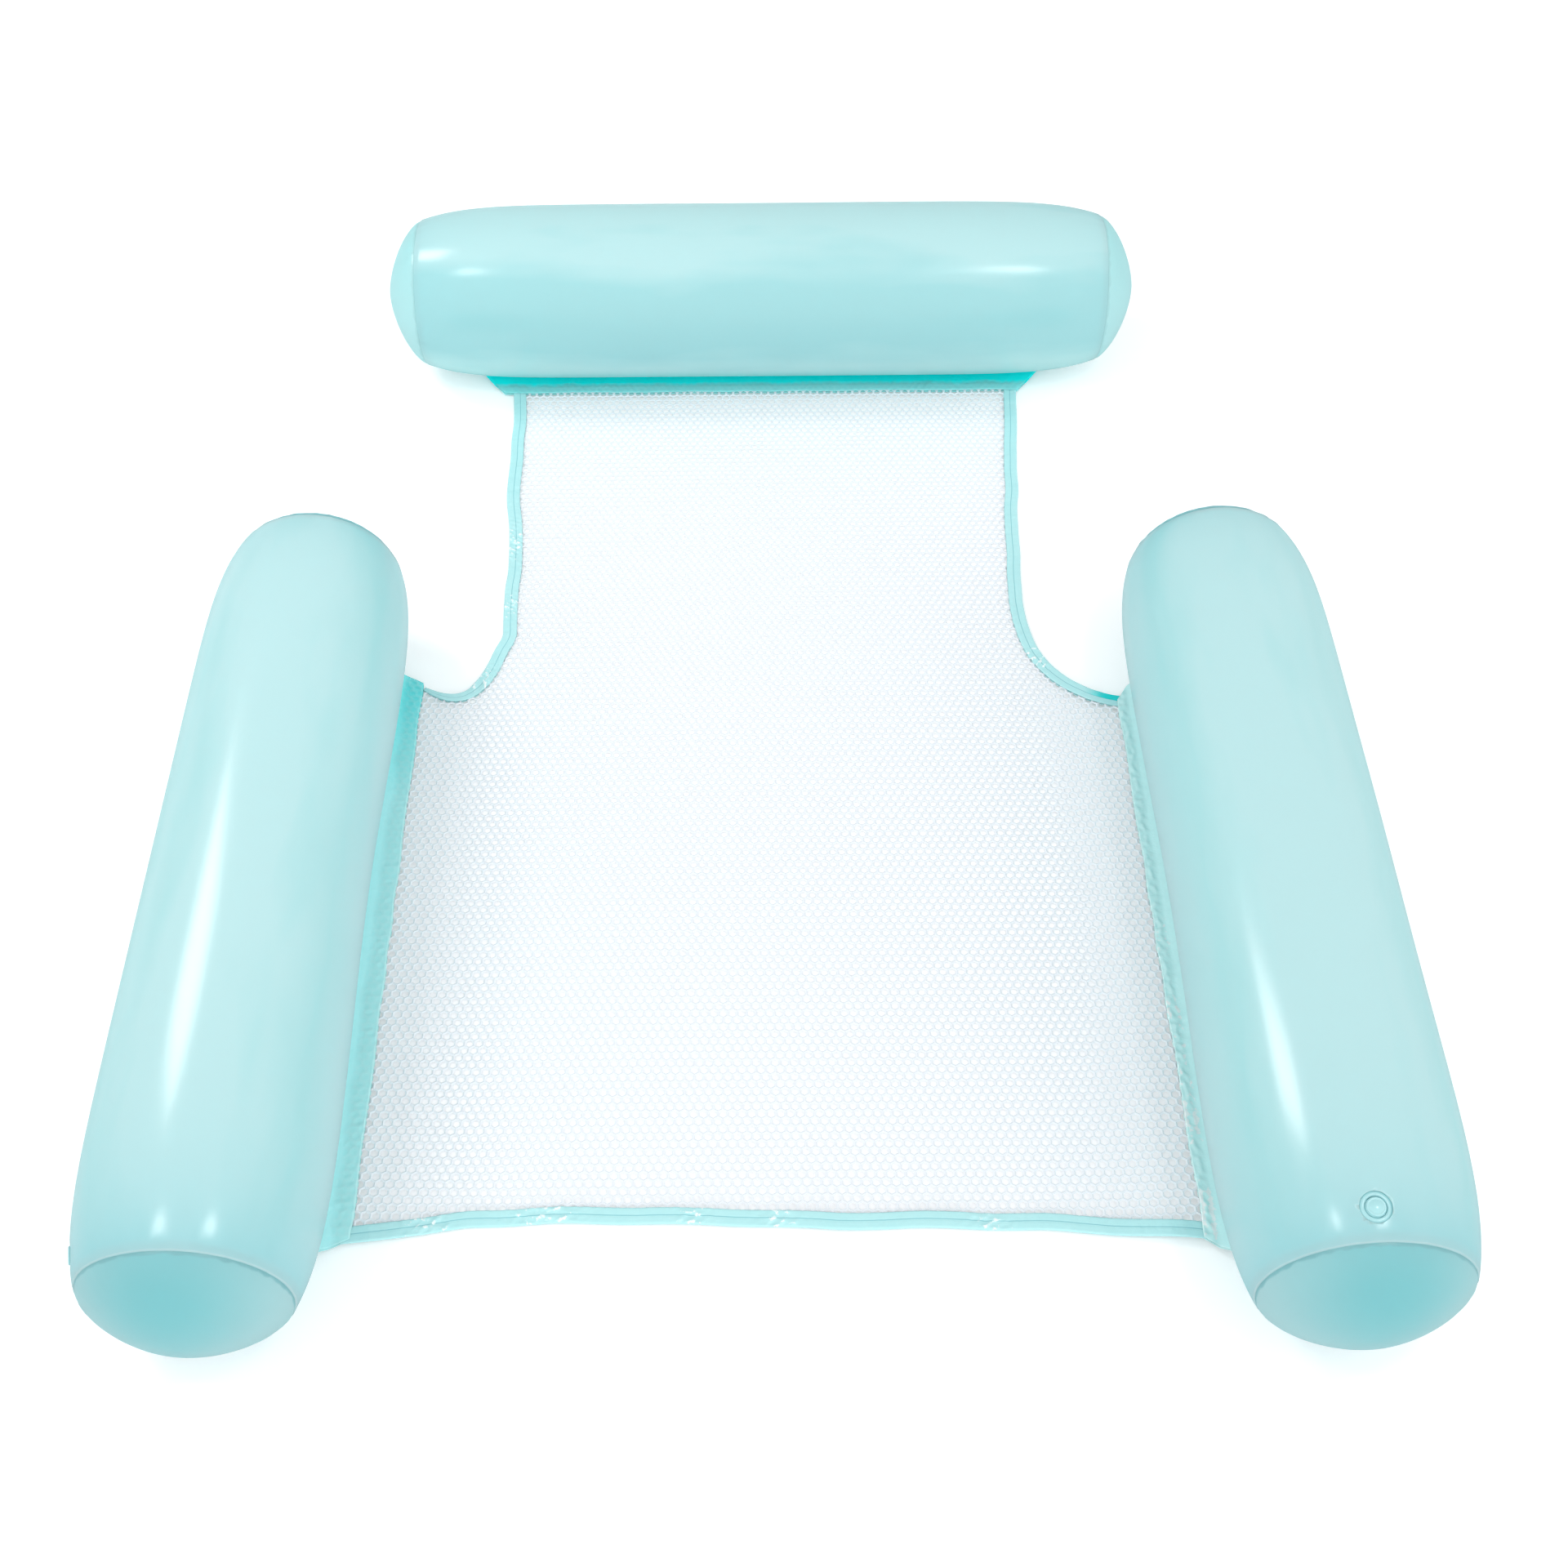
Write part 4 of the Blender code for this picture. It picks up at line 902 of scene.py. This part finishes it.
def tape_piece(name, path, node, seed, material, tight=(), thin=0.0):
    """Folded tape: a U of film, open towards the net, carried along a path with the net on its
    left. The top leaf has a shallow sealed groove and ripples; both leaves follow the seat, and
    the ends are pressed flat, to go under the strips. The path is smoothed by a Hann window.

    tight lists (place along the tape, half length) where it was pulled round and crinkles more,
    as Gaussian bumps of the crinkle's height, and where its colour carries painted glints. thin is
    the share of its width lost at the end."""
    step = np.diff(path, axis=0)
    run = np.concatenate([[0], np.cumsum(np.hypot(step[:, 0], step[:, 1]))])
    even = np.linspace(0, run[-1], int(run[-1] / TAPE_STEP))
    line = np.stack([np.interp(even, run, path[:, k]) for k in (0, 1)], axis=-1)
    window = np.hanning(2 * TAPE_SMOOTH_STEPS + 1)
    window /= window.sum()
    longer = np.pad(line, ((TAPE_SMOOTH_STEPS, TAPE_SMOOTH_STEPS), (0, 0)), mode="reflect",
                    reflect_type="odd")
    line = np.stack([np.convolve(longer[:, k], window, "valid") for k in (0, 1)], axis=-1)
    tangent = np.gradient(line, axis=0)
    tangent /= np.linalg.norm(tangent, axis=1)[:, None]
    left = np.stack([-tangent[:, 1], tangent[:, 0]], axis=-1)
    turn = np.linspace(-np.pi / 2, np.pi / 2, 9)
    middle, bow = (TAPE_LOW + TAPE_HIGH) / 2, (TAPE_HIGH - TAPE_LOW) / 2
    leaf = np.linspace(TAPE_WIDTH, 0.0012, 16)
    low = np.stack([leaf, np.full_like(leaf, TAPE_LOW)], axis=-1)
    fold = np.stack([0.0012 - 0.0012 * np.cos(turn), middle + bow * np.sin(turn)], axis=-1)
    groove = GROOVE_DEPTH * np.exp(-((leaf - TAPE_WIDTH * GROOVE_SHARE) / 0.0006) ** 2)
    tuck = 0.0004 * np.exp(-((leaf - TAPE_WIDTH) / 0.0008) ** 2)
    high = np.stack([leaf, TAPE_HIGH - groove - tuck], axis=-1)[::-1]
    section = np.concatenate([low, fold[1:-1], high])
    top = np.concatenate([np.zeros(len(low)), np.linspace(0, 1, 7), np.ones(len(high))])[None, :]
    u = even[:, None]
    narrow = 1 - thin * ramp(u - run[-1], -THIN_LENGTH, THIN_LENGTH) ** 2
    d = section[:, 0][None, :] * narrow
    wander = TAPE_WANDER * np.sin(u / 0.021 + seed) * np.sin(u / 0.055 + 1.3 * seed)
    x = line[:, :1] + left[:, :1] * (d + wander)
    y = line[:, 1:] + left[:, 1:] * (d + wander)
    crinkle = ripples(u, d, seed, ((0.006, 0.7), (0.011, 1.0), (0.023, 1.2)))
    pulled = sum((np.exp(-((u - place) / reach) ** 2) for place, reach in tight), np.zeros_like(u))
    creases = crumple(u, d, seed + 40, CREASE_LENGTH)
    sharp = CRINKLE_HEIGHT * pulled * top * creases
    end = ramp(np.minimum(u, run[-1] - u), 0, TUCK_LENGTH)
    under = TUCK_DEPTH * (1 - end) * top
    soft = TAPE_RIPPLE * top * (crinkle + 0.25) + sharp
    z = section[:, 1][None, :] + seat_height(x, y) + soft * end - under
    points = np.stack([x, y, z], axis=-1)
    uv = np.stack(np.broadcast_arrays(u, section[:, 0][None, :] / TAPE_WIDTH), axis=-1)
    # Where the colour carries painted glints: at the places where the tape is pulled round.
    marks = {"glint_mask": (pulled * np.clip(0.7 + creases, 0, 1) * top)[:, ::-1]}
    piece = grid_mesh(name, points[:, ::-1], material, uv=uv[:, ::-1], marks=marks)
    give_wall(piece, PLY, 0.0)
    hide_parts(node)
    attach(piece, "seat")


tape_vinyl = tape_film("folded PVC tape")
doubled_tape = tape_film("folded PVC tape, doubled end", doubled=0.036)
tape_piece("front_tape", FRONT_EDGE, "front_binding", 2, tape_vinyl,
           [(0.067, 0.018), (0.157, 0.030), (0.272, 0.012), (0.337, 0.015), (0.502, 0.015)])
tape_piece("right_neck_tape", RIGHT_EDGE, "right_neck_binding", 4, doubled_tape, [(0.09, 0.02)])
tape_piece("left_neck_tape", LEFT_EDGE, "left_neck_binding", 6, tape_vinyl,
           [(0.24, 0.03), (0.33, 0.02), (0.43, 0.02)], thin=0.70)

# Studio. A seamless white floor, a soft key on the left behind the hammock, two soft lamps over
# its foot end, and a pale surround. The camera stands at the foot end, above the seat.
FLOOR_REACH = 30.0
FLOOR_GLOW = 0.20
HORIZON_LIGHT = 1.27
LIGHT_LEAN = (0.22, -0.60, -0.60)


def studio_floor():
    """White seamless paper: matt, and as white to the camera as the surround."""
    material, tree, shader = new_material("white studio paper", {
        "Base Color": linear("#FBFCFD"), "Roughness": 0.9, "Specular IOR Level": 0.1,
        "Emission Color": (1, 1, 1, 1)})
    grain = clouds(tree, 0.0020)
    bump = add_node(tree, "Bump", {"Strength": 0.02, "Distance": 0.0002},
                    {"Height": grain.outputs["Fac"]})
    tree.links.new(bump.outputs["Normal"], shader.inputs["Normal"])
    rays = add_node(tree, "LightPath")
    glow = add_node(tree, "Math", {"operation": "MULTIPLY", 1: FLOOR_GLOW},
                    {0: rays.outputs["Is Camera Ray"]})
    tree.links.new(glow.outputs[0], shader.inputs["Emission Strength"])
    return material


floor_points = FLOOR_REACH * np.array([[[-1, -1, 0], [1, -1, 0]], [[-1, 1, 0], [1, 1, 0]]])
floor = grid_mesh("studio_floor", floor_points, studio_floor())


def soft_lamp(name, place, aim, size, power):
    """A soft lamp of a width and length at a place, facing a point."""
    light = bpy.data.lights.new(name, "AREA")
    light.shape = "RECTANGLE"
    light.size, light.size_y = size
    light.energy = power
    lamp = bpy.data.objects.new(name, light)
    lamp.location = place
    lamp.rotation_mode = "QUATERNION"
    lamp.rotation_quaternion = (Vector(aim) - Vector(place)).to_track_quat("-Z", "Y")
    bpy.context.scene.collection.objects.link(lamp)


soft_lamp("key_lamp", (-1.50, 0.80, 1.80), (0, -0.2, 0.1), (0.50, 0.80), 12.0)
soft_lamp("foot_lamp_left", (-1.28, -0.75, 2.80), (0, 0.1, 0), (0.36, 0.36), 5.6)
soft_lamp("foot_lamp_right", (0.78, -0.72, 2.30), (0, 0.1, 0), (0.32, 0.32), 4.6)

# The surround is white to the camera and in gloss. The light it gives leans: more from one side.
world = bpy.data.worlds.new("pale surround")
bpy.context.scene.world = world
world.use_nodes = True
tree = world.node_tree
rays = add_node(tree, "LightPath")
plain = add_node(tree, "Math", {"operation": "MAXIMUM"},
                 {0: rays.outputs["Is Camera Ray"], 1: rays.outputs["Is Glossy Ray"]})
seen = add_node(tree, "Math", {"operation": "MAXIMUM"},
                {0: plain.outputs[0], 1: rays.outputs["Is Transmission Ray"]})
direction = add_node(tree, "TexCoord")
lean = add_node(tree, "VectorMath", {"operation": "DOT_PRODUCT", 1: LIGHT_LEAN},
                {0: direction.outputs["Generated"]})
light = add_node(tree, "Math", {"operation": "ADD", 1: HORIZON_LIGHT}, {0: lean.outputs["Value"]})
strength = add_node(tree, "Mix", {3: 1.0}, {0: seen.outputs[0], 2: light.outputs[0]})
backdrop = tree.nodes["Background"]
backdrop.inputs["Color"].default_value = (1, 1, 1, 1)
tree.links.new(strength.outputs[0], backdrop.inputs["Strength"])

# The camera, fitted to the outlines: it looks along +y and down, almost level from side to side.
yaw, pitch, roll = -0.0045, 0.8878, -0.0111
forward = Vector((np.sin(yaw) * np.cos(pitch), np.cos(yaw) * np.cos(pitch), -np.sin(pitch)))
right = Vector((np.cos(yaw), -np.sin(yaw), 0))
upward = right.cross(forward)
turned_right = np.cos(roll) * right + np.sin(roll) * upward
turned_up = -np.sin(roll) * right + np.cos(roll) * upward
camera = bpy.data.cameras.new("camera")
camera.sensor_width = 36.0
camera.lens = 42.53
camera.shift_x = 0.0237
camera.shift_y = -0.0073
camera.clip_start, camera.clip_end = 0.05, 100.0
eye = bpy.data.objects.new("camera", camera)
eye.matrix_world = Matrix((turned_right, turned_up, -forward)).transposed().to_4x4()
eye.location = (-0.0133, -1.1424, 1.3353)
bpy.context.scene.collection.objects.link(eye)
bpy.context.scene.camera = eye
bpy.context.scene.view_settings.view_transform = "Standard"
